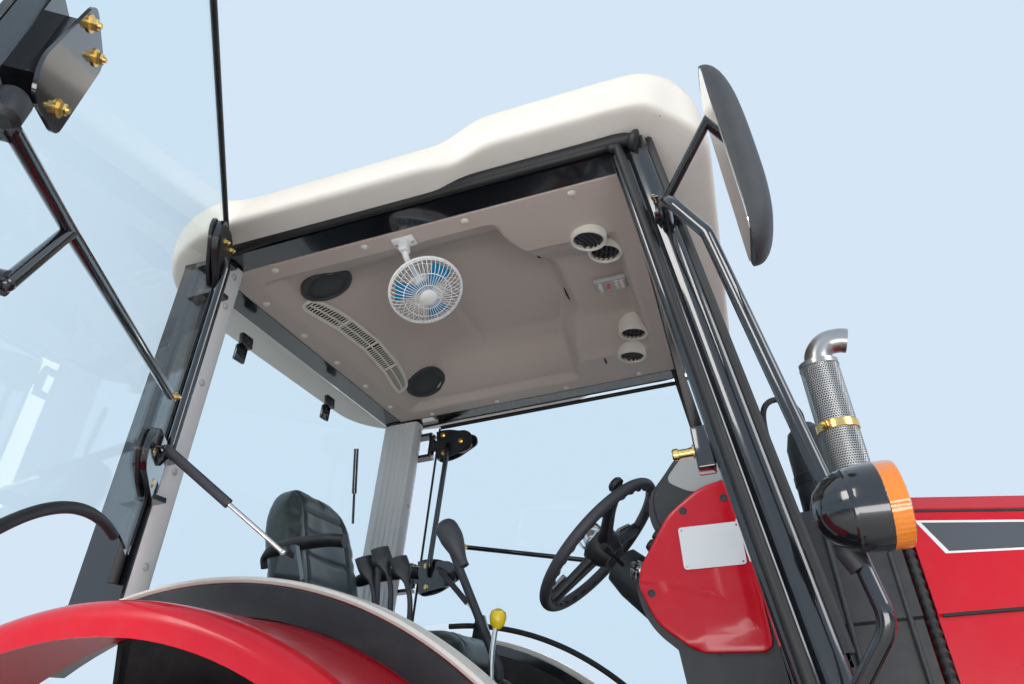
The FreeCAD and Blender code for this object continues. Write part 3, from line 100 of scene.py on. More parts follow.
def finish(name, colour, rough=0.5, metal=0.0, coat=0.0, shade=0.06, patch=3.0, grain=0.0, size=300.0,
           cells=False, dust=0.0, dirt=(0.30, 0.26, 0.21)):
    """A paint, plastic or metal whose colour, roughness and grain vary as the real one's do."""
    made = bpy.data.materials.new(name)
    made.use_nodes = True
    tree = made.node_tree
    shader = tree.nodes["Principled BSDF"]
    shader.inputs["Metallic"].default_value = metal
    shader.inputs["Coat Weight"].default_value = coat
    shader.inputs["Coat Roughness"].default_value = 0.06
    where = tree.nodes.new("ShaderNodeTexCoord")
    clouds = tree.nodes.new("ShaderNodeTexNoise")
    clouds.inputs["Scale"].default_value = patch
    clouds.inputs["Detail"].default_value = 6.0
    tree.links.new(where.outputs["Object"], clouds.inputs["Vector"])
    tint = tree.nodes.new("ShaderNodeMix")
    tint.data_type = "RGBA"
    dark = [max(0.0, value * (1 - shade)) for value in colour]
    light = [min(1.0, value * (1 + shade)) for value in colour]
    tint.inputs["A"].default_value = (*dark, 1)
    tint.inputs["B"].default_value = (*light, 1)
    tree.links.new(clouds.outputs["Fac"], tint.inputs["Factor"])
    paint = tint.outputs["Result"]
    if dust:
        specks = tree.nodes.new("ShaderNodeTexNoise")
        specks.inputs["Scale"].default_value = 22.0
        specks.inputs["Detail"].default_value = 9.0
        tree.links.new(where.outputs["Object"], specks.inputs["Vector"])
        span = tree.nodes.new("ShaderNodeMapRange")
        span.inputs["From Min"].default_value = 0.45
        span.inputs["From Max"].default_value = 0.75
        span.inputs["To Max"].default_value = dust
        tree.links.new(specks.outputs["Fac"], span.inputs["Value"])
        film = tree.nodes.new("ShaderNodeMix")
        film.data_type = "RGBA"
        film.inputs["B"].default_value = (*dirt, 1)
        tree.links.new(span.outputs["Result"], film.inputs["Factor"])
        tree.links.new(paint, film.inputs["A"])
        paint = film.outputs["Result"]
    tree.links.new(paint, shader.inputs["Base Color"])
    sheen = tree.nodes.new("ShaderNodeMapRange")
    sheen.inputs["To Min"].default_value = max(0.02, rough * 0.82)
    sheen.inputs["To Max"].default_value = min(1.0, rough * 1.18)
    tree.links.new(clouds.outputs["Fac"], sheen.inputs["Value"])
    tree.links.new(sheen.outputs["Result"], shader.inputs["Roughness"])
    if grain:
        kind = "ShaderNodeTexVoronoi" if cells else "ShaderNodeTexNoise"
        skin = tree.nodes.new(kind)
        skin.inputs["Scale"].default_value = size
        tree.links.new(where.outputs["Object"], skin.inputs["Vector"])
        relief = tree.nodes.new("ShaderNodeBump")
        relief.inputs["Strength"].default_value = grain
        relief.inputs["Distance"].default_value = 0.001
        tree.links.new(skin.outputs["Distance" if cells else "Fac"], relief.inputs["Height"])
        tree.links.new(relief.outputs["Normal"], shader.inputs["Normal"])
    return made


# %% [markdown]
# The table of finishes follows the record's slots. Gloss paint and the black steel of the cab get a clear
# coat, moulded plastics a fine grain, and rubber a little dust.

# %% The finishes
MADE = {
    "tyre_rubber": finish("tyre_rubber", (0.030, 0.030, 0.032), 0.78, shade=0.25, patch=5, grain=0.35,
                          size=260, dust=0.12, dirt=(0.10, 0.095, 0.085)),
    "wheel_paint": finish("wheel_paint", (0.62, 0.60, 0.55), 0.36, coat=0.4, grain=0.05, size=320, dust=0.2),
    "chassis_paint": finish("chassis_paint", (0.035, 0.037, 0.042), 0.45, coat=0.2, grain=0.12, size=180,
                            dust=0.08),
    "engine_paint": finish("engine_paint", (0.10, 0.105, 0.11), 0.5, grain=0.2, size=150, dust=0.08),
    "red_paint": finish("red_paint", (0.60, 0.003, 0.017), 0.26, coat=0.2, shade=0.05, patch=2.0, grain=0.03,
                        size=420, dust=0.03),
    "black_trim": finish("black_trim", (0.014, 0.015, 0.018), 0.42, grain=0.25, size=700, cells=True,
                         dust=0.06),
    "black_steel": finish("black_steel", (0.006, 0.007, 0.010), 0.16, coat=1.0, grain=0.02, size=380),
    "roof_cream": finish("roof_cream", (0.80, 0.77, 0.71), 0.42, shade=0.03, grain=0.10, size=900, dust=0.05),
    "headliner_taupe": finish("headliner_taupe", (0.56, 0.48, 0.43), 0.62, shade=0.04, grain=0.22, size=1100,
                              cells=True),
    "seat_vinyl": finish("seat_vinyl", (0.045, 0.062, 0.062), 0.38, shade=0.12, grain=0.35, size=520,
                         cells=True),
    "floor_mat": finish("floor_mat", (0.025, 0.025, 0.027), 0.85, grain=0.5, size=120, dust=0.06),
    "dark_plastic": finish("dark_plastic", (0.030, 0.033, 0.038), 0.5, shade=0.1, grain=0.45, size=760,
                           cells=True, dust=0.04),
    "bright_steel": finish("bright_steel", (0.72, 0.72, 0.72), 0.2, metal=1.0, grain=0.03, size=300),
    "exhaust_steel": finish("exhaust_steel", (0.42, 0.41, 0.40), 0.32, metal=1.0, shade=0.15, patch=12,
                            grain=0.1, size=240),
    "soft_grip": finish("soft_grip", (0.055, 0.055, 0.065), 0.55, grain=0.2, size=800),
    "white_wire": finish("white_wire", (0.88, 0.88, 0.87), 0.3, coat=0.5),
    "blue_blade": finish("blue_blade", (0.01, 0.27, 0.52), 0.22, coat=0.6),
    "lamp_red": finish("lamp_red", (0.55, 0.01, 0.01), 0.12, coat=1.0, grain=0.6, size=160, cells=True),
}
TRIM = {
    "zinc_gold": finish("zinc_gold", (0.78, 0.55, 0.20), 0.25, metal=1.0, shade=0.2, patch=40),
    "amber_lens": finish("amber_lens", (0.78, 0.22, 0.012), 0.12, coat=1.0, grain=0.3, size=200, cells=True),
    "seal_rubber": finish("seal_rubber", (0.012, 0.012, 0.013), 0.55, grain=0.3, size=420),
    "pillar_grey": finish("pillar_grey", (0.66, 0.66, 0.66), 0.48, shade=0.03, grain=0.15, size=900,
                          cells=True),
    "vent_cream": finish("vent_cream", (0.74, 0.70, 0.62), 0.4, grain=0.08, size=900),
    "blank_plate": finish("blank_plate", (0.80, 0.82, 0.84), 0.3, metal=0.0, coat=0.3),
    "stripe_grey": finish("stripe_grey", (0.060, 0.065, 0.080), 0.3, coat=0.8),
    "soot": finish("soot", (0.02, 0.018, 0.017), 0.9, grain=0.4, size=200),
    "mirror_silver": finish("mirror_silver", (0.93, 0.94, 0.95), 0.03, metal=1.0, shade=0.0),
    "panel_grey": finish("panel_grey", (0.42, 0.43, 0.43), 0.45, grain=0.1, size=900),
    "display_red": finish("display_red", (0.80, 0.03, 0.02), 0.2, coat=0.5),
    "yellow_knob": finish("yellow_knob", (0.85, 0.62, 0.02), 0.35, coat=0.4),
    "grip_grey": finish("grip_grey", (0.30, 0.30, 0.31), 0.5, grain=0.2, size=700),
}


def clear(name, colour, rough=0.0, index=1.45):
    """See-through glass or plastic of an even tint."""
    made = bpy.data.materials.new(name)
    made.use_nodes = True
    tree = made.node_tree
    shader = tree.nodes["Principled BSDF"]
    shader.inputs["Base Color"].default_value = (*colour, 1)
    shader.inputs["Roughness"].default_value = rough
    shader.inputs["Transmission Weight"].default_value = 1.0
    shader.inputs["IOR"].default_value = index
    return made


MADE["red_paint"].node_tree.nodes["Principled BSDF"].inputs["Specular IOR Level"].default_value = 0.35
MADE["clear_glass"] = clear("clear_glass", (0.90, 0.97, 0.98), 0.0, 1.10)
TRIM["clear_lens"] = clear("clear_lens", (0.95, 0.97, 0.98), 0.05)
print("finishes:", len(MADE) + len(TRIM))

# %% [markdown]
# Each frame piece whose shape is already right keeps its mesh and only gets its finish, by the slot that the
# record gives it.

# %% Dress the frame
slot_of = {row["node"]: row["material_slot"] for row in frame["record"]["subparts"]}
for name, item in nodes.items():
    item.data.materials.clear()
    item.data.materials.append(MADE[slot_of[name]])
print("dressed:", len(nodes))

# %% [markdown]
# ## Tools for making pieces
# Every piece that we add is a mesh made of a few basic moves: a bar swept along a line, a section turned
# round an axis, a block with rounded edges, and a skin stretched over rows of points. The first helper
# turns finished work into an object that rides on a body of the tractor.

# %% Finished pieces
SHARP = math.radians(38)


def piece(name, work, body, finish_name, sharp=SHARP):
    """Close the work into an object, give it its finish and let it ride on a body."""
    bmesh.ops.recalc_face_normals(work, faces=work.faces)
    mesh = bpy.data.meshes.new(name)
    work.to_mesh(mesh)
    work.free()
    mesh.shade_smooth()
    mesh.set_sharp_from_angle(angle=sharp)
    made = bpy.data.objects.new(name, mesh)
    scene.collection.objects.link(made)
    mesh.materials.append(MADE.get(finish_name) or TRIM[finish_name])
    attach(made, body)
    return made


def skin(work, rows, around=True):
    """Faces between rows of points, each row a closed loop where around is true."""
    made = [[work.verts.new(point) for point in row] for row in rows]
    count = len(made[0])
    for first, second in zip(made, made[1:]):
        for index in range(count if around else count - 1):
            after = (index + 1) % count
            work.faces.new((first[index], first[after], second[after], second[index]))
    return made


def bar(work, line, radius, sides=12, flat=1.0):
    """A round bar, or an oval one, swept along a line of places."""
    rows = []
    side = (line[1] - line[0]).normalized().orthogonal().normalized()
    for index, point in enumerate(line):
        way = (line[min(index + 1, len(line) - 1)] - line[max(index - 1, 0)]).normalized()
        side = (side - way * side.dot(way)).normalized()
        up = way.cross(side)
        size = radius(index / (len(line) - 1)) if callable(radius) else radius
        rows.append([point + (side * math.cos(turn) + up * flat * math.sin(turn)) * size
                     for turn in (math.tau * step / sides for step in range(sides))])
    made = skin(work, rows)
    work.faces.new(made[0])
    work.faces.new(made[-1])


def spun(work, centre, way, profile, sides=32, caps=True):
    """A turned piece: profile holds a radius and a height along the way for each of its edges.

    Without caps it is a ring, whose last edge joins its first.
    """
    way = way.normalized()
    side = way.orthogonal().normalized()
    up = way.cross(side)
    rows = []
    for radius, height in profile:
        rows.append([centre + way * height + (side * math.cos(turn) + up * math.sin(turn)) * max(radius, 1e-5)
                     for turn in (math.tau * step / sides for step in range(sides))])
    if not caps:
        made = [[work.verts.new(point) for point in row] for row in rows]
        for first, second in zip(made, made[1:] + made[:1]):
            for index in range(sides):
                after = (index + 1) % sides
                work.faces.new((first[index], first[after], second[after], second[index]))
        return
    made = skin(work, rows)
    work.faces.new(made[0])
    work.faces.new(made[-1])


def block(work, centre, size, turn=None, edge=0.0, steps=2):
    """A block with rounded edges."""
    fresh = bmesh.ops.create_cube(work, size=1.0)["verts"]
    turned = (turn or Matrix.Identity(3)).to_4x4()
    bmesh.ops.transform(work, matrix=Matrix.Translation(centre) @ turned @ Matrix.Diagonal((*size, 1)),
                        verts=fresh)
    if edge:
        edges = list({link for vert in fresh for link in vert.link_edges})
        bmesh.ops.bevel(work, geom=edges, offset=edge, segments=steps, affect="EDGES", profile=0.5)


def bolt(work, place, way, size=0.009):
    """A hexagon head on its washer."""
    way = way.normalized()
    spun(work, place, way, [(size * 1.15, 0), (size * 1.15, size * 0.22)], 20)
    spun(work, place, way, [(size * 0.82, size * 0.2), (size * 0.82, size * 0.85), (size * 0.62, size * 1.0)],
         6)
    spun(work, place, way, [(size * 0.42, size * 0.9), (size * 0.38, size * 1.35)], 12)


def slabbed(work, outline, side, thick, lift):
    """A flat plate: outline gives places, thick its depth along side, lift its start along it."""
    back = [work.verts.new(point + side * lift) for point in outline]
    front = [work.verts.new(point + side * (lift + thick)) for point in outline]
    work.faces.new(back)
    work.faces.new(front)
    for index in range(len(outline)):
        after = (index + 1) % len(outline)
        work.faces.new((back[index], back[after], front[after], front[index]))


def flowing(points, steps=8):
    """A smooth line through a few places."""
    spots = [Vector(point) for point in points]
    ends = [spots[0] * 2 - spots[1]] + spots + [spots[-1] * 2 - spots[-2]]
    line = []
    for one, two, three, four in zip(ends, ends[1:], ends[2:], ends[3:]):
        for step in range(steps):
            part = step / steps
            line.append(0.5 * (two * 2 + (three - one) * part
                               + (one * 2 - two * 5 + three * 4 - four) * part ** 2
                               + (two * 3 - one - three * 3 + four) * part ** 3))
    line.append(spots[-1])
    return line


def eased(value, low, high):
    """From 0 below low to 1 above high, without a corner."""
    part = min(1.0, max(0.0, (value - low) / (high - low)))
    return part * part * (3 - 2 * part)


def blend(low, high, part):
    return low + (high - low) * part


def rounded(points, radius, steps=5):
    """A flat outline with its corners rounded, each corner a small curve."""
    line = []
    count = len(points)
    for index, corner in enumerate(points):
        before = (points[index - 1] - corner)
        after = (points[(index + 1) % count] - corner)
        reach = min(radius, before.length * 0.45, after.length * 0.45)
        start_point = corner + before.normalized() * reach
        end_point = corner + after.normalized() * reach
        for step in range(steps + 1):
            part = step / steps
            line.append(start_point * (1 - part) ** 2 + corner * 2 * part * (1 - part) + end_point * part ** 2)
    return line


UP = Vector((0, 0, 1))
LEFT = Vector((0, 1, 0))
FORWARD = Vector((1, 0, 0))
SIDES = (("left", 1), ("right", -1))
print("helpers ready")

# %% [markdown]
# ## Cab posts
# The posts lean: the front pair back, the rear pair forward. Both lines are needed again and again, so they
# get a function each, from their feet to the rails.

# %% The leaning lines
FLOOR, RAIL = 1.06, 2.50
OUTER = 0.66


def front_edge(z):
    """The rear face of a front post."""
    return 1.185 - 0.167 * (z - FLOOR) / (RAIL - FLOOR)


def rear_edge(z):
    """The front face of a rear post."""
    return -0.290 + 0.245 * (z - FLOOR) / (RAIL - FLOOR)


print("door opening at the rail:", round(front_edge(RAIL) - rear_edge(RAIL), 3))

# %% [markdown]
# ## Roof
# The roof is one large moulding. Seen from the ground its side lip is what shows: a bright upright band that
# is low at the rear and steps up ahead of the middle, with a soft scoop at the step and a hollow under the
# front corners. A skin over rows of points, each row a rounded rectangle, gives that with two curves: one
# for the lower edge, one for the brow.

# %% Roof moulding
ROOF_BACK, ROOF_FRONT, ROOF_HALF, NOSE_BEND, TAIL_BEND = -0.330, 1.255, 0.765, 0.16, 0.34


def roof_place(share, inset):
    """A place on the roof's outline, which bends far more gently at the rear corners."""
    back, front, half = ROOF_BACK + inset, ROOF_FRONT - inset, ROOF_HALF - inset
    tail, nose = max(0.02, TAIL_BEND - inset * 0.6), max(0.02, NOSE_BEND - inset * 0.5)
    legs = (
        (Vector((back + tail, -half, 0)), FORWARD, front - back - tail - nose, (front - nose, -half + nose),
         nose, -90),
        (Vector((front, -half + nose, 0)), LEFT, 2 * (half - nose), (front - nose, half - nose), nose, 0),
        (Vector((front - nose, half, 0)), -FORWARD, front - back - tail - nose, (back + tail, half - tail),
         tail, 90),
        (Vector((back, half - tail, 0)), -LEFT, 2 * (half - tail), (back + tail, -half + tail), tail, 180),
    )
    part = share * sum(run + math.pi * bend / 2 for _, _, run, _, bend, _ in legs)
    for origin, way, run, hub, bend, angle in legs:
        if part <= run:
            return origin + way * part
        part -= run
        corner = math.pi * bend / 2
        if part <= corner:
            turned = math.radians(angle + 90 * part / corner)
            return Vector((hub[0] + bend * math.cos(turned), hub[1] + bend * math.sin(turned), 0))
        part -= corner
    return legs[0][0]


def lip(place):
    """Lower edge and brow of the lip at a place on the outline, and how far it is scooped in."""
    step = eased(place.x, 0.60, 0.74)
    tail = eased(-place.x, -0.10, 0.02) * 0.022
    beside = eased(abs(place.y), 0.60, 0.72)
    low = blend(2.516, 2.540, step * beside)
    brow = blend(2.590 + tail, 2.640, step * beside)
    scoop = 0.020 * math.exp(-((place.x - 0.67) / 0.05) ** 2) * beside
    corner = math.hypot(place.x - 1.20, abs(place.y) - 0.70)
    scoop += 0.034 * math.exp(-(corner / 0.085) ** 2)
    return low, brow, scoop


ROOF_ROWS = (
    # inset, share of the way from the lower edge to the brow, height above it, how much of the scoop
    (0.150, 0.0, -0.004, 0.0), (0.108, 0.0, -0.008, 0.1), (0.060, 0.0, -0.004, 0.5), (0.026, 0.0, -0.002, 0.9),
    (0.010, 0.0, 0.000, 1.0), (0.003, 0.0, 0.008, 1.0), (0.000, 0.25, 0.0, 1.0), (0.000, 0.75, 0.0, 0.8),
    (0.004, 1.0, -0.006, 0.4), (0.014, 1.0, 0.004, 0.2), (0.040, 1.0, 0.014, 0.0), (0.090, 1.0, 0.026, 0.0),
)
CROWN_ROWS = ((0.150, 2.684), (0.220, 2.698), (0.320, 2.708), (0.450, 2.715), (0.600, 2.719), (0.740, 2.7195))
STATIONS = 220
work = bmesh.new()
rows = []
for inset, share, rise, scooped in ROOF_ROWS:
    row = []
    for index in range(STATIONS):
        outline = roof_place(index / STATIONS, 0.0)
        low, brow, scoop = lip(outline)
        place_in = roof_place(index / STATIONS, inset + scoop * scooped)
        row.append(spot(place_in.x, place_in.y, blend(low, brow, share) + rise))
    rows.append(row)
for inset, height in CROWN_ROWS:
    row = []
    for index in range(STATIONS):
        outline = roof_place(index / STATIONS, inset)
        row.append(spot(outline.x, outline.y, height))
    rows.append(row)
made = skin(work, rows)
work.faces.new(made[-1])
roof = piece("roof_moulding", work, "root", "roof_cream", sharp=math.radians(60))
soft = roof.modifiers.new("soft", "SUBSURF")
soft.levels = soft.render_levels = 1
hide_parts("roof")
print("roof faces:", len(roof.data.polygons))

# %% [markdown]
# Above each front corner the moulding carries a small lamp pocket with a plugged hole, and the middle of its
# front has a dark slotted insert for the air.

# %% Roof details
work = bmesh.new()
for _, side in SIDES:
    spun(work, spot(1.150, side * 0.700, 2.548), Vector((0.3, side * 0.45, -0.8)),
         [(0.010, -0.012), (0.010, 0.004), (0.006, 0.006), (0.006, -0.004)], 24)
piece("roof_plugs", work, "root", "seal_rubber")
work = bmesh.new()
for step in range(9):
    block(work, spot(1.247, 0, 2.545 + 0.0085 * step), (0.006, 0.52, 0.004), edge=0.0015)
for side in (-1, 1):
    block(work, spot(1.246, side * 0.265, 2.579), (0.008, 0.010, 0.085), edge=0.002)
for height in (2.5385, 2.6195):
    block(work, spot(1.246, 0, height), (0.008, 0.54, 0.006), edge=0.002)
piece("roof_front_louvre", work, "root", "black_trim")
print("roof details done")

# %% [markdown]
# ## Headliner
# The lining is a vacuum formed sheet. It lies flat against the rails, rises into a broad dome, and comes down
# again at the front into a console for the air outlets. A height map is the natural way to draw such a
# sheet: for each place on the sheet we add up a few soft steps.

# %% Headliner sheet
LINER_BACK, LINER_FRONT, LINER_HALF = -0.112, 1.034, 0.586


def liner_height(x, y):
    """Height of the sheet's visible face above the ground."""
    side = abs(y)
    walls = eased(LINER_HALF - side, 0.066, 0.100) * eased(x - LINER_BACK, 0.060, 0.135)
    walls *= eased(LINER_FRONT - x, 0.050, 0.085)
    dome = 0.030 + 0.058 * eased(LINER_HALF - side, 0.085, 0.26) * eased(x - LINER_BACK, 0.10, 0.30)
    dome += 0.052 * eased(LINER_HALF - side, 0.14, 0.34) * eased(x - LINER_BACK, 0.17, 0.42)
    waist = 0.715 - 0.06 * eased(side, 0.10, 0.34)
    console = eased(x, waist, waist + 0.070) * (0.060 + 0.040 * eased(side, 0.16, 0.30))
    lobes = 0.016 * eased(x, 0.79, 0.86) * (1 - eased(x, 0.97, 1.0)) * math.exp(-((side - 0.305) / 0.14) ** 4)
    crease = 0.006 * math.exp(-((x - 0.36) / 0.02) ** 2) * eased(LINER_HALF - side, 0.22, 0.30)
    height = RAIL + walls * max(0.0, dome - console + crease) - walls * lobes * 0.3
    return height


COLUMNS, LINES = 190, 190
work = bmesh.new()
grid = []
for line_index in range(LINES + 1):
    x = blend(LINER_BACK, LINER_FRONT, line_index / LINES)
    row = []
    for column in range(COLUMNS + 1):
        y = blend(-LINER_HALF, LINER_HALF, column / COLUMNS)
        row.append(spot(x, y, liner_height(x, y)))
    grid.append(row)
skin(work, grid, around=False)
sheet = piece("headliner_sheet", work, "root", "headliner_taupe", sharp=math.radians(70))
thick = sheet.modifiers.new("thick", "SOLIDIFY")
thick.thickness = 0.004
thick.offset = 1.0 if sheet.data.polygons[0].normal.z > 0 else -1.0
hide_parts("headliner")
print("dome height:", round(liner_height(0.35, 0) - RAIL, 3))

# %% [markdown]
# What is fixed to the lining: press buttons along its rim, two loudspeakers, four round air outlets in pale
# rings with curved blades, a long curved grille at the rear, a switch panel with a small red display, and
# two slots, drawn as dark bars of painted shade.

# %% Buttons
work = bmesh.new()
for _, side in SIDES:
    for x in (0.04, 0.32, 0.61, 0.90):
        spun(work, spot(x, side * 0.560, RAIL - 0.0002), -UP, [(0.0105, 0.0), (0.0105, 0.002), (0.008, 0.005),
                                                               (0.003, 0.0065)], 24)
for y in (-0.42, -0.21, 0.0, 0.21, 0.42):
    spun(work, spot(LINER_BACK + 0.030, y, RAIL - 0.0002), -UP,
         [(0.0105, 0.0), (0.0105, 0.002), (0.008, 0.005), (0.003, 0.0065)], 24)
piece("lining_buttons", work, "root", "vent_cream")
print("buttons done")

# %% Loudspeakers


def liner_frame(x, y, reach=0.03):
    """A place on the sheet and the direction that it faces, downwards."""
    across = Vector((0, 2 * reach, liner_height(x, y + reach) - liner_height(x, y - reach)))
    along = Vector((2 * reach, 0, liner_height(x + reach, y) - liner_height(x - reach, y)))
    down = across.cross(along).normalized()
    if down.z > 0:
        down = -down
    return spot(x, y, liner_height(x, y)), down


work = bmesh.new()
holes = bmesh.new()
for _, side in SIDES:
    middle, down = liner_frame(0.09, side * 0.375, 0.05)
    middle = middle + down * 0.006
    spun(work, middle, down, [(0.078, -0.012), (0.080, 0.0), (0.076, 0.006), (0.066, 0.007), (0.062, 0.002),
                              (0.056, 0.002), (0.040, 0.006), (0.016, 0.008)], 56)
    face = down.orthogonal().normalized()
    other = down.cross(face)
    # The grille's holes are small near-black dots: their darkness is painted shade in the holes.
    for ring_index in range(2, 9):
        count = 6 * ring_index
        for step in range(count):
            turned = math.tau * step / count
            seat = face * math.cos(turned) + other * math.sin(turned)
            radius = 0.0068 * ring_index
            lift = 0.0022 + 0.0052 * (1 - (radius / 0.058) ** 2)
            spun(holes, middle + seat * radius + down * lift, down, [(0.0020, 0.0), (0.0012, 0.0009)], 6)
piece("loudspeakers", work, "root", "dark_plastic")
piece("loudspeaker_hole_shade", holes, "root", "seal_rubber")
print("loudspeakers done")

# %% Air outlets
rings, shade_wells, blades = bmesh.new(), bmesh.new(), bmesh.new()
for _, side in SIDES:
    for x, y, z, tip in ((0.902, 0.372, 2.494, 24), (0.930, 0.256, 2.522, -18)):
        middle, down = spot(x, side * y, z), Vector((-0.12, 0.0, -1.0)).normalized()
        spun(rings, middle, down, [(0.050, -0.046), (0.051, 0.010), (0.049, 0.015), (0.044, 0.017),
                                   (0.0405, 0.013),
                                   (0.040, -0.046)], 48, caps=False)
        # A near-black plug closes each outlet behind its blades: its darkness is painted shade inside the
        # outlet.
        spun(shade_wells, middle, down, [(0.0402, -0.010), (0.0402, 0.0035)], 40)
        face = (FORWARD - down * FORWARD.dot(down)).normalized()
        other = down.cross(face)
        tilted = math.radians(tip)
        face, other = (face * math.cos(tilted) + other * math.sin(tilted),
                       other * math.cos(tilted) - face * math.sin(tilted))
        for step in (-2, -1, 0, 1, 2):
            offset = step * 0.0135
            half = math.sqrt(0.037 ** 2 - offset ** 2)
            line = [middle + face * (offset + 0.0045 * math.cos(math.pi * (part - 4) / 8))
                    + other * half * (part - 4) / 4
                    + down * 0.010 for part in range(9)]
            bar(blades, line, 0.0050, 8, 0.35)
        bar(blades, [middle - face * 0.038 + down * 0.008, middle + face * 0.038 + down * 0.008], 0.0022, 8)
piece("outlet_rings", rings, "root", "vent_cream")
piece("outlet_shade_wells", shade_wells, "root", "seal_rubber")
piece("outlet_blades", blades, "root", "dark_plastic")
print("air outlets: 4")

# %% Rear grille
border, slats, grille_shade_sheet = bmesh.new(), bmesh.new(), bmesh.new()


def grille_spot(along, across):
    """A place on the lining's rear slope: along it from right to left, across it from low to high."""
    y = along
    x = LINER_BACK + 0.105 + 0.055 * (1 - (along / 0.40) ** 2) + across * 0.80
    return spot(x, y, liner_height(x, y) - 0.004)


GRILLE_HALF, GRILLE_DEEP = 0.345, 0.034
outline = []
for step in range(81):
    turned = math.tau * step / 80
    power = 0.28
    along = GRILLE_HALF * math.copysign(abs(math.cos(turned)) ** power, math.cos(turned))
    across = GRILLE_DEEP * math.copysign(abs(math.sin(turned)) ** 0.6, math.sin(turned))
    outline.append(grille_spot(along, across))
bar(border, outline, 0.0065, 10)
for edge_at in (-0.172, 0.0, 0.172):
    bar(border, [grille_spot(edge_at, part * GRILLE_DEEP) for part in (-0.9, -0.3, 0.3, 0.9)], 0.006, 10)
# A near-black sheet behind the slats stands for the dark opening of the grille: painted shade.
rows = []
for step in range(41):
    along = blend(-0.335, 0.335, step / 40)
    rows.append([grille_spot(along, part * 0.029) - UP * 0.0008 for part in (-1, -0.5, 0, 0.5, 1)])
skin(grille_shade_sheet, rows, around=False)
for step in range(52):
    along = blend(-0.330, 0.330, step / 51)
    if min(abs(along - edge_at) for edge_at in (-0.172, 0.0, 0.172)) < 0.008:
        continue
    bar(slats, [grille_spot(along, part * 0.028) - UP * 0.003 for part in (-1, 0, 1)], 0.0035, 8, 0.6)
bar(slats, [grille_spot(blend(-0.33, 0.33, step / 40), 0.0) - UP * 0.004 for step in range(41)], 0.0030, 8)
piece("rear_grille_frame", border, "root", "vent_cream")
piece("rear_grille_shade_sheet", grille_shade_sheet, "root", "seal_rubber")
piece("rear_grille_slats", slats, "root", "vent_cream")
print("rear grille done")

# %% Switch panel and slots drawn as bars of painted shade
panel, keys, display, slot_shade_bars = bmesh.new(), bmesh.new(), bmesh.new(), bmesh.new()
middle, down = liner_frame(0.905, 0.0, 0.03)
lie = Matrix((FORWARD - down * FORWARD.dot(down), LEFT, down)).transposed()
for index in range(3):
    lie.col[index].normalize()
middle = middle + down * 0.008
block(panel, middle + down * 0.002, (0.105, 0.066, 0.018), lie, 0.007, 3)
for row_at in (-0.034, 0.020, 0.036):
    for column in (-0.018, 0.0, 0.018):
        block(keys, middle + down * 0.0135 + lie @ Vector((row_at, column, 0)), (0.013, 0.015, 0.004), lie,
              0.0015)
block(display, middle + down * 0.0135 + lie @ Vector((-0.010, 0, 0)), (0.011, 0.026, 0.003), lie, 0.001)
# Each slot is a near-black bar: the dark of the opening is painted shade.
for x, y, long in ((0.735, -0.235, 0.105), (0.745, 0.075, 0.085), (0.80, 0.40, 0.05)):
    line = []
    for part in range(7):
        at_y = y + long * (part - 3) / 6
        line.append(spot(x, at_y, liner_height(x, at_y) - 0.001))
    bar(slot_shade_bars, line, lambda part: 0.0055 * math.sin(math.pi * (0.1 + 0.8 * part)), 10, 0.5)
piece("switch_panel", panel, "root", "panel_grey")
piece("switch_keys", keys, "root", "vent_cream")
piece("switch_display", display, "root", "display_red")
piece("lining_slot_shade", slot_shade_bars, "root", "seal_rubber")
print("switch panel done")

# %% [markdown]
# ## Door openings
# A hollow rubber seal runs round each door opening: up the front post, back under the rail, down the rear
# post. The photograph shows it as a thick matt black line between the shiny steel and the roof. Above it a
# second band seals the roof to the rail, with a bulge at the front corner.

# %% Door seals
for word, side in SIDES:
    work = bmesh.new()
    y = side * (OUTER + 0.013)
    top = RAIL + 0.012
    corners = [spot(front_edge(1.12) + 0.022, y, 1.12), spot(front_edge(2.40) + 0.022, y, 2.40),
               spot(front_edge(2.49) + 0.010, y, top - 0.008), spot(front_edge(2.5) - 0.06, y, top),
               spot(0.60, y, top), spot(0.20, y, top), spot(rear_edge(2.5) + 0.06, y, top),
               spot(rear_edge(2.49) - 0.016, y, top - 0.012), spot(rear_edge(2.40) - 0.020, y, 2.40),
               spot(rear_edge(2.0) - 0.020, y, 2.0), spot(rear_edge(1.66) - 0.020, y, 1.66)]
    bar(work, flowing(corners, 10), 0.0115, 14)
    band = [spot(rear_edge(2.5) - 0.02, side * 0.672, 2.512), spot(0.2, side * 0.674, 2.520),
            spot(0.6, side * 0.674, 2.522), spot(0.95, side * 0.674, 2.522), spot(1.045, side * 0.676, 2.520),
            spot(1.085, side * 0.676, 2.505)]
    bar(work, flowing(band, 10), lambda part: 0.017 + 0.010 * eased(part, 0.90, 0.97), 14)
    piece("door_seal_" + word, work, "root", "seal_rubber")
print("door seals: 2")

# %% [markdown]
# The rear posts wear a pale moulded cover inside the cab, with fine ribs and press buttons. It wraps the
# post's front and inner faces.

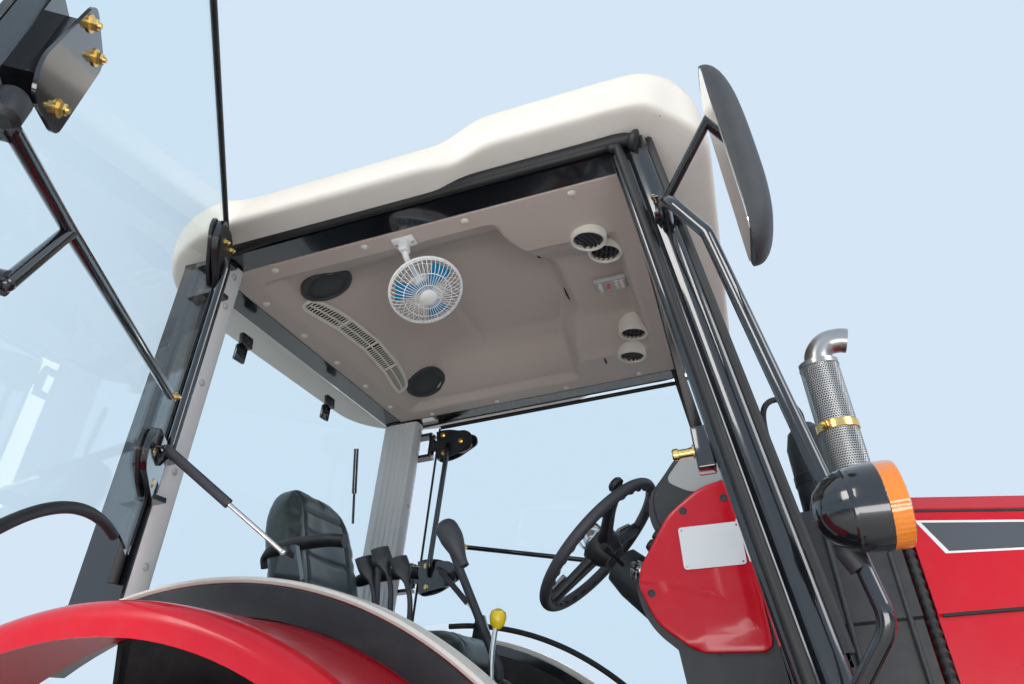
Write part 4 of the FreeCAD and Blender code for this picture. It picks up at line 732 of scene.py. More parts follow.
# %% Rear post covers
covers, caps = bmesh.new(), bmesh.new()
for _, side in SIDES:
    rows = []
    for part in range(25):
        z = blend(1.625, 2.492, part / 24)
        x = rear_edge(z)
        section = [(x + 0.0035, 0.650), (x + 0.0075, 0.640), (x + 0.0075, 0.600), (x + 0.001, 0.5855)]
        for rib in range(5):
            at_x = x - 0.022 - 0.022 * rib
            section += [(at_x + 0.008, 0.5855), (at_x + 0.005, 0.5825), (at_x - 0.005, 0.5825),
                        (at_x - 0.008, 0.5855)]
        section += [(x - 0.138, 0.5880), (x - 0.138, 0.5898), (x + 0.0005, 0.5898), (x + 0.0005, 0.650)]
        rows.append([spot(px, side * py, z) for px, py in section])
    made = skin(covers, rows)
    covers.faces.new(made[0])
    covers.faces.new(made[-1])
    for z in (1.70, 1.92, 2.15, 2.37, 2.46):
        spun(caps, spot(rear_edge(z) + 0.0072, side * 0.622, z), FORWARD,
             [(0.0095, 0.0), (0.0095, 0.002), (0.007, 0.0045), (0.002, 0.0055)], 20)
piece("rear_post_covers", covers, "root", "pillar_grey")
piece("rear_post_buttons", caps, "root", "panel_grey")
print("rear post covers: 2")

# %% [markdown]
# A front post is not one flat bar. Two pressed rounds run up its outer side, and they are what catches the
# light. Ahead of them a matt strip covers the edge of the windscreen.

# %% Front post mouldings
gloss, strip = bmesh.new(), bmesh.new()
for _, side in SIDES:
    for offset, radius, squeeze in ((0.021, 0.020, 0.55), (0.064, 0.024, 0.45)):
        line = [spot(front_edge(z) + offset, side * (OUTER + 0.0015), z) for z in (1.075, 1.5, 1.9, 2.2, 2.485)]
        rows = []
        for point in line:
            rows.append([point + FORWARD * radius * math.cos(math.pi * step / 12)
                         + LEFT * side * radius * squeeze * math.sin(math.pi * step / 12)
                         for step in range(13)])
        made = skin(gloss, rows)
        gloss.faces.new(made[0])
        gloss.faces.new(made[-1])
    rows = []
    for z in (1.38, 1.7, 2.0, 2.3, 2.52):
        x = front_edge(z) + 0.090
        rows.append([spot(x - 0.001, side * 0.661, z), spot(x + 0.008, side * 0.664, z),
                     spot(x + 0.015, side * 0.658, z), spot(x + 0.015, side * 0.596, z),
                     spot(x + 0.0078, side * 0.594, z), spot(x + 0.0078, side * 0.652, z)])
    made = skin(strip, rows)
    strip.faces.new(made[0])
    strip.faces.new(made[-1])
piece("front_post_mouldings", gloss, "root", "black_steel")
piece("windscreen_strips", strip, "root", "seal_rubber")
print("front posts dressed")

# %% [markdown]
# ## Exhaust
# A perforated guard keeps hands off the hot pipe. The holes are real ones: each hole is a small ring of
# eight faces, and every second row is shifted by half a hole, so the rows share their points. A dark pipe
# stands inside, and the bright elbow at the top turns the smoke forward.

# %% Perforated guard
PIPE_X, PIPE_Y = 1.390, -0.270
GUARD_LOW, GUARD_TOP, GUARD_RADIUS = 1.70, 2.036, 0.0445
HOLES_ROUND, HOLE_ROWS, HOLE = 50, 60, 0.0019


def guard_point(turned, z, radius=GUARD_RADIUS):
    return spot(PIPE_X + radius * math.cos(turned), PIPE_Y + radius * math.sin(turned), z)


work = bmesh.new()
step_round = math.tau / HOLES_ROUND
step_up = (GUARD_TOP - GUARD_LOW) / HOLE_ROWS
lines = [[work.verts.new(guard_point(half * step_round / 2, GUARD_LOW + line * step_up))
          for half in range(2 * HOLES_ROUND)] for line in range(HOLE_ROWS + 1)]
for line in range(HOLE_ROWS):
    shift = line % 2
    walls = [work.verts.new(guard_point((2 * hole + shift) * step_round / 2,
                                        GUARD_LOW + (line + 0.5) * step_up))
             for hole in range(HOLES_ROUND)]
    for hole in range(HOLES_ROUND):
        first = 2 * hole + shift
        picks = [(first) % (2 * HOLES_ROUND), (first + 1) % (2 * HOLES_ROUND), (first + 2) % (2 * HOLES_ROUND)]
        low, high = lines[line], lines[line + 1]
        frame_round = [low[picks[0]], low[picks[1]], low[picks[2]], walls[(hole + 1) % HOLES_ROUND],
                       high[picks[2]], high[picks[1]], high[picks[0]], walls[hole]]
        middle = (first + 1) * step_round / 2
        rim = []
        for corner in range(8):
            turned = math.radians(225 + 45 * corner)
            rim.append(work.verts.new(guard_point(middle + HOLE * math.cos(turned) / GUARD_RADIUS,
                                                  GUARD_LOW + (line + 0.5) * step_up + HOLE * math.sin(turned),
                                                  GUARD_RADIUS - 0.0006)))
        for corner in range(8):
            after = (corner + 1) % 8
            work.faces.new((frame_round[corner], frame_round[after], rim[after], rim[corner]))
guard = piece("exhaust_guard", work, "root", "exhaust_steel")
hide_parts("exhaust")
print("holes in the guard:", HOLES_ROUND * HOLE_ROWS)

# %% Pipe, elbow and clamp
work = bmesh.new()
bar(work, [spot(PIPE_X, PIPE_Y, 1.665), spot(PIPE_X, PIPE_Y, 2.02)], 0.036, 32)
piece("exhaust_pipe", work, "root", "soot")
work = bmesh.new()
spun(work, spot(PIPE_X, PIPE_Y, 1.663), UP, [(0.0455, 0.0), (0.0455, 0.045), (0.0448, 0.046)], 48)
spun(work, spot(PIPE_X, PIPE_Y, 2.026), UP, [(0.0458, 0.0), (0.0458, 0.012), (0.032, 0.014), (0.031, 0.0)], 48)
bend = flowing([spot(PIPE_X, PIPE_Y, 1.95), spot(PIPE_X, PIPE_Y, 2.03), spot(PIPE_X + 0.006, PIPE_Y, 2.062),
                spot(PIPE_X + 0.030, PIPE_Y, 2.086), spot(PIPE_X + 0.060, PIPE_Y, 2.089),
                spot(PIPE_X + 0.078, PIPE_Y, 2.084)], 8)
bar(work, bend, 0.0295, 36)
piece("exhaust_elbow", work, "root", "exhaust_steel", sharp=math.radians(50))
work = bmesh.new()
mouth_way = (bend[-1] - bend[-2]).normalized()
spun(work, bend[-1] - mouth_way * 0.002, mouth_way, [(0.0272, 0.0), (0.0272, 0.0024)], 32)
piece("exhaust_mouth", work, "root", "soot")
work = bmesh.new()
spun(work, spot(PIPE_X, PIPE_Y, 1.862), UP, [(0.0460, 0.0), (0.0472, 0.001), (0.0472, 0.019),
                                             (0.0460, 0.020)], 56)
block(work, spot(PIPE_X - 0.030, PIPE_Y - 0.040, 1.872), (0.020, 0.014, 0.016),
      Matrix.Rotation(math.radians(-38), 3, "Z"), 0.003)
bolt(work, spot(PIPE_X - 0.036, PIPE_Y - 0.046, 1.872), Vector((-0.62, -0.78, 0)), 0.006)
piece("exhaust_clamp", work, "root", "zinc_gold")
print("exhaust done")

# %% [markdown]
# Beside it stands the air intake, a domed canister held by a strap. A thin black pipe leaves its top in an
# arch and goes down behind it.

# %% Air intake
work = bmesh.new()
spun(work, spot(1.340, -0.110, 1.793), UP, [(0.0556, 0.0), (0.0572, 0.001), (0.0572, 0.023), (0.0556, 0.024)],
     48)
block(work, spot(1.338, -0.172, 1.805), (0.012, 0.030, 0.024), None, 0.003)
piece("intake_strap", work, "root", "black_trim")
work = bmesh.new()
bolt(work, spot(1.331, -0.176, 1.805), -FORWARD, 0.007)
piece("intake_bolt", work, "root", "zinc_gold")
work = bmesh.new()
bar(work, flowing([spot(1.340, -0.110, 1.940), spot(1.338, -0.113, 1.985), spot(1.312, -0.130, 2.016),
                   spot(1.270, -0.155, 2.010), spot(1.246, -0.170, 1.970), spot(1.242, -0.174, 1.88),
                   spot(1.252, -0.176, 1.718)], 8), 0.0075, 14)
piece("intake_pipe", work, "root", "seal_rubber")
print("intake done")

# %% [markdown]
# ## Mirrors
# The mirror's shell is a shallow scoop: flat towards the driver, round towards the front. Its section is a
# half oval, and the half oval grows and shrinks from bottom to top. A straight tube carries it from a
# bolted bracket at the top of the front post.

# %% Mirror shells
MIRROR_FACE, MIRROR_MIDDLE, MIRROR_LOW, MIRROR_TOP = 1.243, 0.905, 1.972, 2.402
heads, glass, arms, clamps, studs = (bmesh.new() for _ in range(5))
for _, side in SIDES:
    rows = []
    for part in range(29):
        share = part / 28
        height = blend(MIRROR_LOW, MIRROR_TOP, 0.5 - 0.5 * math.cos(math.pi * share))
        away = abs(2 * (height - MIRROR_LOW) / (MIRROR_TOP - MIRROR_LOW) - 1)
        wide = 0.082 * max(0.0, 1 - away ** 4.5) ** 0.4 + 0.0008
        deep = 0.050 * max(0.0, 1 - away ** 3.2) ** 0.5 + 0.0008
        lean_x = 0.010 * (height - MIRROR_LOW) / (MIRROR_TOP - MIRROR_LOW)
        row = []
        for step in range(21):
            turned = math.pi * step / 20
            across = wide * math.copysign(abs(math.cos(turned)) ** 0.75, math.cos(turned))
            out_x = deep * math.sin(turned) ** 0.9
            row.append(spot(MIRROR_FACE + out_x - lean_x, side * (MIRROR_MIDDLE + across), height))
        row.append(spot(MIRROR_FACE - 0.004 - lean_x, side * (MIRROR_MIDDLE - wide * 0.985), height))
        row.append(spot(MIRROR_FACE - 0.004 - lean_x, side * (MIRROR_MIDDLE + wide * 0.985), height))
        rows.append(row)
    made = skin(heads, rows)
    heads.faces.new(made[0])
    heads.faces.new(made[-1])
    corners = [spot(MIRROR_FACE - 0.0045 - 0.010 * (z - MIRROR_LOW) / 0.43, side * (MIRROR_MIDDLE + y), z)
               for y, z in ((-0.068, 1.995), (0.068, 1.995), (0.068, 2.380), (-0.068, 2.380))]
    slabbed(glass, rounded(corners, 0.035, 6), -FORWARD, 0.0015, 0.0)
    foot, tip = spot(1.116, side * 0.690, 2.292), spot(1.262, side * 0.885, 2.368)
    bar(arms, [foot, blend(foot, tip, 0.5), tip], 0.0105, 16)
    block(clamps, spot(1.118, side * 0.672, 2.290), (0.046, 0.022, 0.075), None, 0.004)
    block(clamps, spot(1.116, side * 0.690, 2.318), (0.050, 0.030, 0.008),
          Matrix.Rotation(side * -0.4, 3, "X"), 0.002)
    block(clamps, spot(1.116, side * 0.690, 2.262), (0.050, 0.030, 0.008),
          Matrix.Rotation(side * 0.4, 3, "X"), 0.002)
    spun(clamps, spot(1.116, side * 0.690, 2.262), UP, [(0.016, 0.0), (0.016, 0.058)], 20)
    block(clamps, spot(1.250, side * 0.880, 2.362), (0.020, 0.050, 0.046), None, 0.005)
    for x, z in ((1.104, 2.315), (1.132, 2.308), (1.104, 2.268)):
        bolt(studs, spot(x, side * 0.683, z), Vector((0, side, 0)), 0.0078)
shells = piece("mirror_shells", heads, "root", "dark_plastic", sharp=math.radians(50))
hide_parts("mirrors")
piece("mirror_glasses", glass, "root", "mirror_silver")
piece("mirror_arms", arms, "root", "black_steel")
piece("mirror_brackets", clamps, "root", "black_steel")
piece("mirror_bolts", studs, "root", "zinc_gold")
print("mirrors: 2")

# %% [markdown]
# ## Indicators
# Each grab rail carries a round lamp. Its bowl is glossy black, and its amber lens stands out in front with
# fine upright ribs, which the wave in its radius makes.

# %% Indicator lamps
bowls, lenses, feet = bmesh.new(), bmesh.new(), bmesh.new()
for _, side in SIDES:
    middle = spot(1.245, side * 0.840, 1.555)
    spun(bowls, middle, FORWARD, [(0.012, -0.020), (0.030, -0.013), (0.045, 0.001), (0.056, 0.020),
                                  (0.0615, 0.040),
                                  (0.0635, 0.062), (0.0635, 0.074), (0.0605, 0.077), (0.058, 0.070)], 56)
    rows = []
    for radius, height in ((0.0622, 0.070), (0.0624, 0.092), (0.0613, 0.1006), (0.0560, 0.1030),
                           (0.044, 0.1042),
                           (0.028, 0.105), (0.010, 0.1055)):
        row = []
        for step in range(144):
            turned = math.tau * step / 144
            wave = 1 + 0.006 * math.cos(turned * 48) * min(1.0, radius / 0.05)
            row.append(middle + FORWARD * height + LEFT * radius * wave * math.cos(turned)
                       + UP * radius * wave * math.sin(turned))
        rows.append(row)
    made = skin(lenses, rows)
    lenses.faces.new(made[0])
    lenses.faces.new(made[-1])
    bar(feet, [spot(1.262, side * 0.812, 1.555), spot(1.262, side * 0.812, 1.500),
               spot(1.273, side * 0.812, 1.478)],
        0.017, 16)
piece("indicator_bowls", bowls, "root", "black_steel")
piece("indicator_lenses", lenses, "root", "amber_lens")
piece("indicator_feet", feet, "root", "black_trim")
print("indicators: 2")

# %% [markdown]
# ## Doors
# Everything on a door is given for the closed door, measured outwards from its pane. The left door stays
# closed. The right one is its mirror image turned open on its leaning hinge line, so one function places
# both, and both ride on their own door.

# %% Places on a door
HINGE_WAY = Vector((0.245, 0, 1.44)).normalized()
HINGE_TOP = Vector((-0.010, -0.700, 2.50))
OPEN = Matrix.Rotation(math.radians(-57), 3, HINGE_WAY)


def on_door(side, x, out, z):
    """A place on a door from its closed place: x and z on the tractor, out from the pane's inner face."""
    if side > 0:
        return spot(x, 0.700 + out, z)
    closed = Vector((x, -0.700 - out, z))
    return DATUM + HINGE_TOP + OPEN @ (closed - HINGE_TOP)


def door_way(side, way):
    """A direction on a door, outward being left on the left one."""
    if side > 0:
        return Vector(way)
    return OPEN @ Vector((way[0], -way[1], way[2]))


def hinge_x(z):
    return rear_edge(z) + 0.035


ARCH = 0.990
arc = [math.radians(turn) for turn in range(24, 92, 4)]
print("upper hinge at", round(hinge_x(2.41), 3))

# %% Door edge rubbers, hinge pads and bolts
for word, side in SIDES:
    body = "cab_door_" + word
    rubber, pads, gold, silver, grips = (bmesh.new() for _ in range(5))
    top = [on_door(side, x, 0.0025, 2.494) for x in (0.020, 0.25, 0.55, 0.85, front_edge(2.494) + 0.018)]
    bar(rubber, flowing(top, 6), 0.0085, 12)
    corner = flowing([on_door(side, front_edge(z) + 0.024, 0.0025, z) for z in (2.49, 2.2, 1.8, 1.4, 1.13)], 6)
    bar(rubber, corner, 0.0060, 10)
    low = [on_door(side, ARCH * math.cos(turned), 0.0025, 0.70 + ARCH * math.sin(turned))
           for turned in arc if ARCH * math.cos(turned) > hinge_x(1.70) + 0.03]
    bar(rubber, flowing(low, 4), 0.0100, 12)
    heel = flowing([on_door(side, hinge_x(z) + 0.026, 0.0025, z) for z in (2.49, 2.2, 1.95, 1.72)], 6)
    bar(rubber, heel, 0.0050, 10)
    for z in (2.41, 1.88):
        at_x = hinge_x(z)
        shape = [on_door(side, at_x + x, 0, z + rise) for x, rise in
                 ((0.022, -0.072), (0.022, 0.072), (0.110, 0.066), (0.205, 0.018), (0.205, -0.018),
                  (0.110, -0.066))]
        slabbed(pads, rounded(shape, 0.035, 6), door_way(side, (0, 1, 0)), 0.008, 0.0055)
        inner = [on_door(side, at_x + x, 0, z + rise) for x, rise in
                 ((0.034, -0.064), (0.034, 0.064), (0.110, 0.058), (0.190, 0.014), (0.190, -0.014),
                  (0.110, -0.058))]
        if z > 2:
            slabbed(pads, rounded(inner, 0.030, 6), door_way(side, (0, -1, 0)), 0.006, 0.0137)
        for x, rise in ((0.062, 0.040), (0.062, -0.040), (0.140, 0.0)):
            if z > 2:
                bolt(gold, on_door(side, at_x + x, -0.0197, z + rise), door_way(side, (0, -1, 0)), 0.0095)
            else:
                spun(gold, on_door(side, at_x + x, -0.0137, z + rise), door_way(side, (0, -1, 0)),
                     [(0.0105, -0.001), (0.0105, 0.001), (0.0075, 0.0022)], 20)
            spun(gold, on_door(side, at_x + x, 0.0135, z + rise), door_way(side, (0, 1, 0)),
                 [(0.010, 0.0), (0.010, 0.002), (0.006, 0.005)], 20)
    for x, z in ((1.010, 1.760), (0.880, 1.670)):
        spun(silver, on_door(side, x, 0.0055, z), door_way(side, (0, 1, 0)),
             [(0.019, 0.0), (0.018, 0.004), (0.010, 0.006)], 28)
    bolt(gold, on_door(side, 0.125, -0.0385, 1.965), door_way(side, (0, -1, 0)), 0.0085)
    grip_line = [on_door(side, 1.030, 0.006, 1.905), on_door(side, 1.030, 0.040, 1.885),
                 on_door(side, 1.028, 0.044, 1.840), on_door(side, 1.030, 0.040, 1.795), on_door(side, 1.030,
                                                                                                 0.006, 1.775)]
    bar(grips, flowing(grip_line, 6), 0.0095, 14)
    shape = [on_door(side, x, 0, z) for x, z in ((0.998, 1.770), (0.998, 1.920), (1.062, 1.920),
                                                 (1.062, 1.770))]
    slabbed(grips, rounded(shape, 0.015, 5), door_way(side, (0, 1, 0)), 0.009, 0.0055)
    spun(silver, on_door(side, 1.048, 0.0145, 1.845), door_way(side, (0, 1, 0)),
         [(0.009, 0.0), (0.009, 0.003), (0.006, 0.004)], 24)
    piece("door_rubber_" + word, rubber, body, "seal_rubber")
    piece("hinge_pads_" + word, pads, body, "black_trim")
    piece("door_bolts_" + word, gold, body, "zinc_gold")
    piece("door_caps_" + word, silver, body, "bright_steel")
    piece("door_handle_" + word, grips, body, "dark_plastic")
print("doors dressed: 2")

# %% Strikers
mounts, pins = bmesh.new(), bmesh.new()
for _, side in SIDES:
    block(mounts, spot(1.090, side * 0.628, 1.752), (0.034, 0.056, 0.082), None, 0.004)
    spun(pins, spot(1.074, side * 0.628, 1.752), -FORWARD,
         [(0.0135, 0.0), (0.0135, 0.004), (0.0085, 0.005), (0.0085, 0.030), (0.0115, 0.031), (0.0115, 0.040),
          (0.009, 0.043)],
         28)
piece("striker_mounts", mounts, "root", "black_steel")
piece("striker_pins", pins, "root", "zinc_gold")
print("strikers: 2")

# %% [markdown]
# ## Fenders
# On the cab side the red fender meets a black band that seals it to the sill, and a pale bead covers the
# sill's edge. Both follow the wheel's circle, so their rows are turned round the axle.

# %% Bands on the wheel arches
bands, beads = bmesh.new(), bmesh.new()
for _, side in SIDES:
    for made_in, section, first, last in (
            (bands, ((0.862, 0.6672), (0.864, 0.6755), (0.905, 0.6760), (0.926, 0.6755), (0.929, 0.6672)),
             24.5, 116.5),
            (beads, ((0.9305, 0.600), (0.9305, 0.668), (0.936, 0.6725), (0.9425, 0.668), (0.9445, 0.655),
                     (0.9445, 0.600)),
             26, 112)):
        rows = []
        for part in range(65):
            turned = math.radians(blend(first, last, part / 64))
            rows.append([spot(radius * math.cos(turned), side * y, 0.70 + radius * math.sin(turned))
                         for radius, y in section])
        made = skin(made_in, rows)
        made_in.faces.new(made[0])
        made_in.faces.new(made[-1])
piece("arch_bands", bands, "root", "black_trim")
piece("sill_beads", beads, "root", "roof_cream")
print("arches dressed: 2")

# %% [markdown]
# ## Bonnet and cowl
# The bonnet tapers towards the nose. Two small functions give its flank and its crown at any station, so
# the stripe, the black lines of painted groove shadow and the lower strip all follow it and ride on the lid.

# %% The bonnet's lines
STATION = ((1.450, 0.350, 1.452, 1.720), (2.640, 0.336, 1.428, 1.560))


def bonnet_at(x):
    """Half width, top of the pressed band and crown at a station between the cowl and the nose."""
    part = (x - STATION[0][0]) / (STATION[1][0] - STATION[0][0])
    return tuple(blend(low, high, part) for low, high in zip(STATION[0][1:], STATION[1][1:]))


def flank(x, drop, out=0.0):
    """A place on the flank, a drop below the shoulder."""
    half, _, crown = bonnet_at(x)
    return x, half + out, crown - 0.064 - drop


print("bonnet half width at the middle:", round(bonnet_at(2.05)[0], 3))

# %% Stripe, painted groove shadows and lower strip
stripes, outlines, groove_shade_lines, strips, studs = (bmesh.new() for _ in range(5))
for _, side in SIDES:
    for made_in, grow, out in ((outlines, 0.0045, 0.0004), (stripes, 0.0, 0.0008)):
        rows = []
        for part in range(41):
            share = part / 40
            upper = blend(1.474 - grow * 2.4, 2.30 + grow * 3, share)
            lower = blend(1.506 - grow * 1.6, 2.30 + grow * 3, share)
            high = flank(upper, 0.030 - grow, out)
            deep = flank(lower, blend(0.086, 0.040, share) + grow, out)
            rows.append([spot(high[0], side * high[1], high[2]), spot(deep[0], side * deep[1], deep[2]),
                         spot(deep[0], side * (deep[1] - out - 0.001), deep[2]),
                         spot(high[0], side * (high[1] - out - 0.001), high[2])])
        made = skin(made_in, rows)
        made_in.faces.new(made[0])
        made_in.faces.new(made[-1])
    # The two thin black bars along each flank are painted shade: they stand for the shadow in the groove under
    # the shoulder and in the step above the lower band.
    for drop, radius, proud in ((0.006, 0.0035, -0.0010), (0.2045, 0.0040, -0.0022)):
        line = []
        for part in range(31):
            x, y, z = flank(blend(1.458, 2.620, part / 30), 0)
            z = z - drop if drop < 0.1 else bonnet_at(x)[1] - 0.003
            line.append(spot(x, side * (y + proud), z))
        bar(groove_shade_lines, line, radius, 8)
    rows = []
    for part in range(49):
        x = blend(1.456, 2.60, part / 48)
        y = bonnet_at(x)[0] - 0.006
        rows.append([spot(x, side * (y - 0.002), 1.176), spot(x, side * (y + 0.0045), 1.174),
                     spot(x, side * (y + 0.0060), 1.160), spot(x, side * (y + 0.0045), 1.134),
                     spot(x, side * (y - 0.002), 1.1305)])
    made = skin(strips, rows)
    strips.faces.new(made[0])
    strips.faces.new(made[-1])
    for part in range(58):
        x = blend(1.468, 2.588, part / 57)
        y = bonnet_at(x)[0]
        for z in (1.148, 1.162):
            spun(studs, spot(x + (0.01 if z > 1.15 else 0), side * (y - 0.0012), z), Vector((0, side, 0)),
                 [(0.0030, 0.0), (0.0020, 0.0018)], 8)
    for x in (1.52, 2.0, 2.45):
        y = bonnet_at(x)[0] - 0.006
        bolt(studs, spot(x, side * (y + 0.0002), 1.205), Vector((0, side, 0)), 0.0075)
piece("side_stripes", stripes, "bonnet_lid", "stripe_grey")
piece("side_stripe_edges", outlines, "bonnet_lid", "blank_plate")
piece("flank_groove_shade", groove_shade_lines, "bonnet_lid", "seal_rubber")
piece("lower_strips", strips, "bonnet_lid", "seal_rubber")
piece("strip_studs", studs, "bonnet_lid", "black_trim")
print("bonnet sides done")

# %% Ribbed seal on the cowl
HALF_HOOD, CROWN, SEAL_X = 0.3435, 1.7125, 1.4372
path = [(-HALF_HOOD, 1.135), (-HALF_HOOD, 1.30), (-HALF_HOOD, 1.45), (-HALF_HOOD, 1.60),
        (-HALF_HOOD + 0.006, 1.655),
        (-HALF_HOOD + 0.035, 1.681), (-0.22, 1.696), (-0.11, 1.708), (0, CROWN)]
path += [(-y, z) for y, z in reversed(path[:-1])]
line = flowing([spot(SEAL_X, y, z) for y, z in path], 34)
ribs = len(line) - 1
work = bmesh.new()
bar(work, line, lambda part: 0.0098 + 0.0016 * math.sin(part * ribs * math.tau / 4), 12)
piece("cowl_seal", work, "root", "seal_rubber")
work = bmesh.new()
for _, side in SIDES:
    bar(work, flowing([spot(1.292, side * 0.3515, z) for z in (1.16, 1.3, 1.5, 1.64)], 4), 0.006, 10)
    bar(work, flowing([spot(1.400, side * 0.3515, z) for z in (1.16, 1.3, 1.5, 1.64)], 4), 0.005, 10)
piece("cowl_ribs", work, "root", "dark_plastic")
print("ribs along the seal:", ribs // 4)

# %% [markdown]
# The nose carries the grille and two round lamps. A bright bowl and a clear ribbed glass make each lamp,
# and a fine mesh closes the slots.

# %% [markdown]
# The frame's lamps end flat and right at the machine's nose. A copy of the grille, with these faces set back
# by a few millimetres, makes room for the glasses without growing the machine.

# %% Grille with room for its glasses
grille_copy = nodes["grille"].data.copy()
placed = nodes["grille"].matrix_world.copy()
back_by = placed.to_3x3().inverted() @ (FORWARD * -0.0058)
moved = 0
for vert in grille_copy.vertices:
    if (placed @ vert.co).x > spot(2.8015, 0, 0).x:
        vert.co += back_by
        moved += 1
grille_face = bpy.data.objects.new("grille_face", grille_copy)
scene.collection.objects.link(grille_face)
grille_face.matrix_world = placed
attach(grille_face, "bonnet_lid")
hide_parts("grille")
print("lamp points set back:", moved)

# %% Headlamps and mesh
bowls, lenses, rims, wires = (bmesh.new() for _ in range(4))
for _, side in SIDES:
    middle = spot(2.8010, side * 0.158, 1.345)
    spun(bowls, middle, FORWARD, [(0.0535, -0.001), (0.0535, 0.0006), (0.030, 0.0009), (0.006, 0.0012)], 48)
    spun(lenses, middle, FORWARD, [(0.054, 0.0008), (0.054, 0.0022), (0.036, 0.0034), (0.012, 0.0040)], 48)
    spun(rims, middle, FORWARD, [(0.0605, -0.006), (0.0605, 0.0015), (0.0575, 0.0028), (0.0540, 0.0022),
                                 (0.0540, -0.004)], 56)
for step in range(32):
    y = blend(-0.098, 0.098, step / 31)
    bar(wires, [spot(2.7775, y, 1.245), spot(2.7775, y, 1.425)], 0.0010, 6)
for step in range(28):
    z = blend(1.246, 1.424, step / 27)
    bar(wires, [spot(2.7790, -0.099, z), spot(2.7790, 0.099, z)], 0.0010, 6)
piece("headlamp_bowls", bowls, "bonnet_lid", "bright_steel")
piece("headlamp_glasses", lenses, "bonnet_lid", "clear_lens")
piece("headlamp_rims", rims, "bonnet_lid", "black_trim")
piece("grille_mesh", wires, "bonnet_lid", "black_trim")
print("nose done")

# %% [markdown]
# ## Fan
# The fan's cage is a basket of thin wires that run from the rim to a small cap, in front and behind. Bent
# wires look right only if they curve, so each follows a quarter of an oval.

# %% Fan cage
FAN = Vector((0.450, -0.450, 2.390))
FAN_WAY = Vector((0.35, -0.35, -0.87)).normalized()
fan_side = LEFT.cross(FAN_WAY).normalized()
fan_up = FAN_WAY.cross(fan_side)
cage = bmesh.new()


def fan_place(turned, radius, height):
    return DATUM + FAN + (fan_side * math.cos(turned) + fan_up * math.sin(turned)) * radius + FAN_WAY * height


def hoop(work, radius, height, thick):
    line = [fan_place(math.tau * step / 72, radius, height) for step in range(73)]
    bar(work, line, thick, 8)


for count, cap, deep, way in ((48, 0.021, 0.040, 1), (36, 0.024, 0.050, -1)):
    for index in range(count):
        turned = math.tau * index / count
        line = []
        for part in range(9):
            share = math.pi / 2 * part / 8
            radius = cap + (0.1 - cap) * math.cos(share) ** 0.9
            line.append(fan_place(turned, radius, way * deep * math.sin(share)))
        bar(cage, line, 0.00095, 6)
for radius, height, thick in ((0.100, 0.0, 0.0038), (0.0985, 0.009, 0.0016), (0.066, 0.0285, 0.0014),
                              (0.064, -0.036, 0.0014), (0.036, 0.0385, 0.0012)):
    hoop(cage, radius, height, thick)
spun(cage, DATUM + FAN, FAN_WAY, [(0.0225, 0.0360), (0.0225, 0.0410), (0.017, 0.0440), (0.004, 0.0450)], 32)
spun(cage, DATUM + FAN, FAN_WAY, [(0.010, -0.066), (0.021, -0.062), (0.0265, -0.052), (0.0265, -0.026),
                                  (0.023, -0.020)], 32)
stem = flowing([DATUM + FAN - FAN_WAY * 0.058, spot(0.428, -0.515, 2.447), spot(0.430, -0.545, 2.472),
                spot(0.430, -0.545, 2.4985)], 8)
bar(cage, stem, 0.0085, 14)
block(cage, spot(0.430, -0.545, 2.4945), (0.062, 0.040, 0.009), None, 0.003)
block(cage, spot(0.430, -0.545, 2.476), (0.024, 0.030, 0.030), None, 0.004)
cage_piece = piece("fan_cage", cage, "root", "white_wire")
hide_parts("fan")
screws = bmesh.new()
for x in (0.407, 0.453):
    spun(screws, spot(x, -0.545, 2.490), -UP, [(0.0045, 0.0), (0.0045, 0.0015), (0.003, 0.003)], 16)
piece("fan_screws", screws, "root", "bright_steel")
print("cage wires:", 48 + 36)

# %% [markdown]
# ## Dash and steering wheel
# The console is dark moulded plastic with a red cheek on each side. A cheek is a shallow dish: its outline
# is drawn three times, each time a little further out and a little smaller, which rounds its edge.

# %% Cheeks and plate
cheeks, plates, rivets, knobs = (bmesh.new() for _ in range(4))
CHEEK = [(1.142, 1.800), (1.060, 1.788), (0.975, 1.735), (0.893, 1.622), (0.884, 1.585), (0.912, 1.500),
         (0.990, 1.432), (1.146, 1.420)]


def cheek_out(x, z):
    """How far a cheek stands out: a fold runs across it below the plate, and a second one near its foot."""
    above = (z - 1.590) + 0.28 * (x - 0.90)
    foot = (z - 1.452) - 0.26 * (x - 1.00)
    return 0.2735 + 0.0065 * (1 - eased(above, -0.010, 0.006)) - 0.0055 * (1 - eased(foot, -0.012, 0.008))


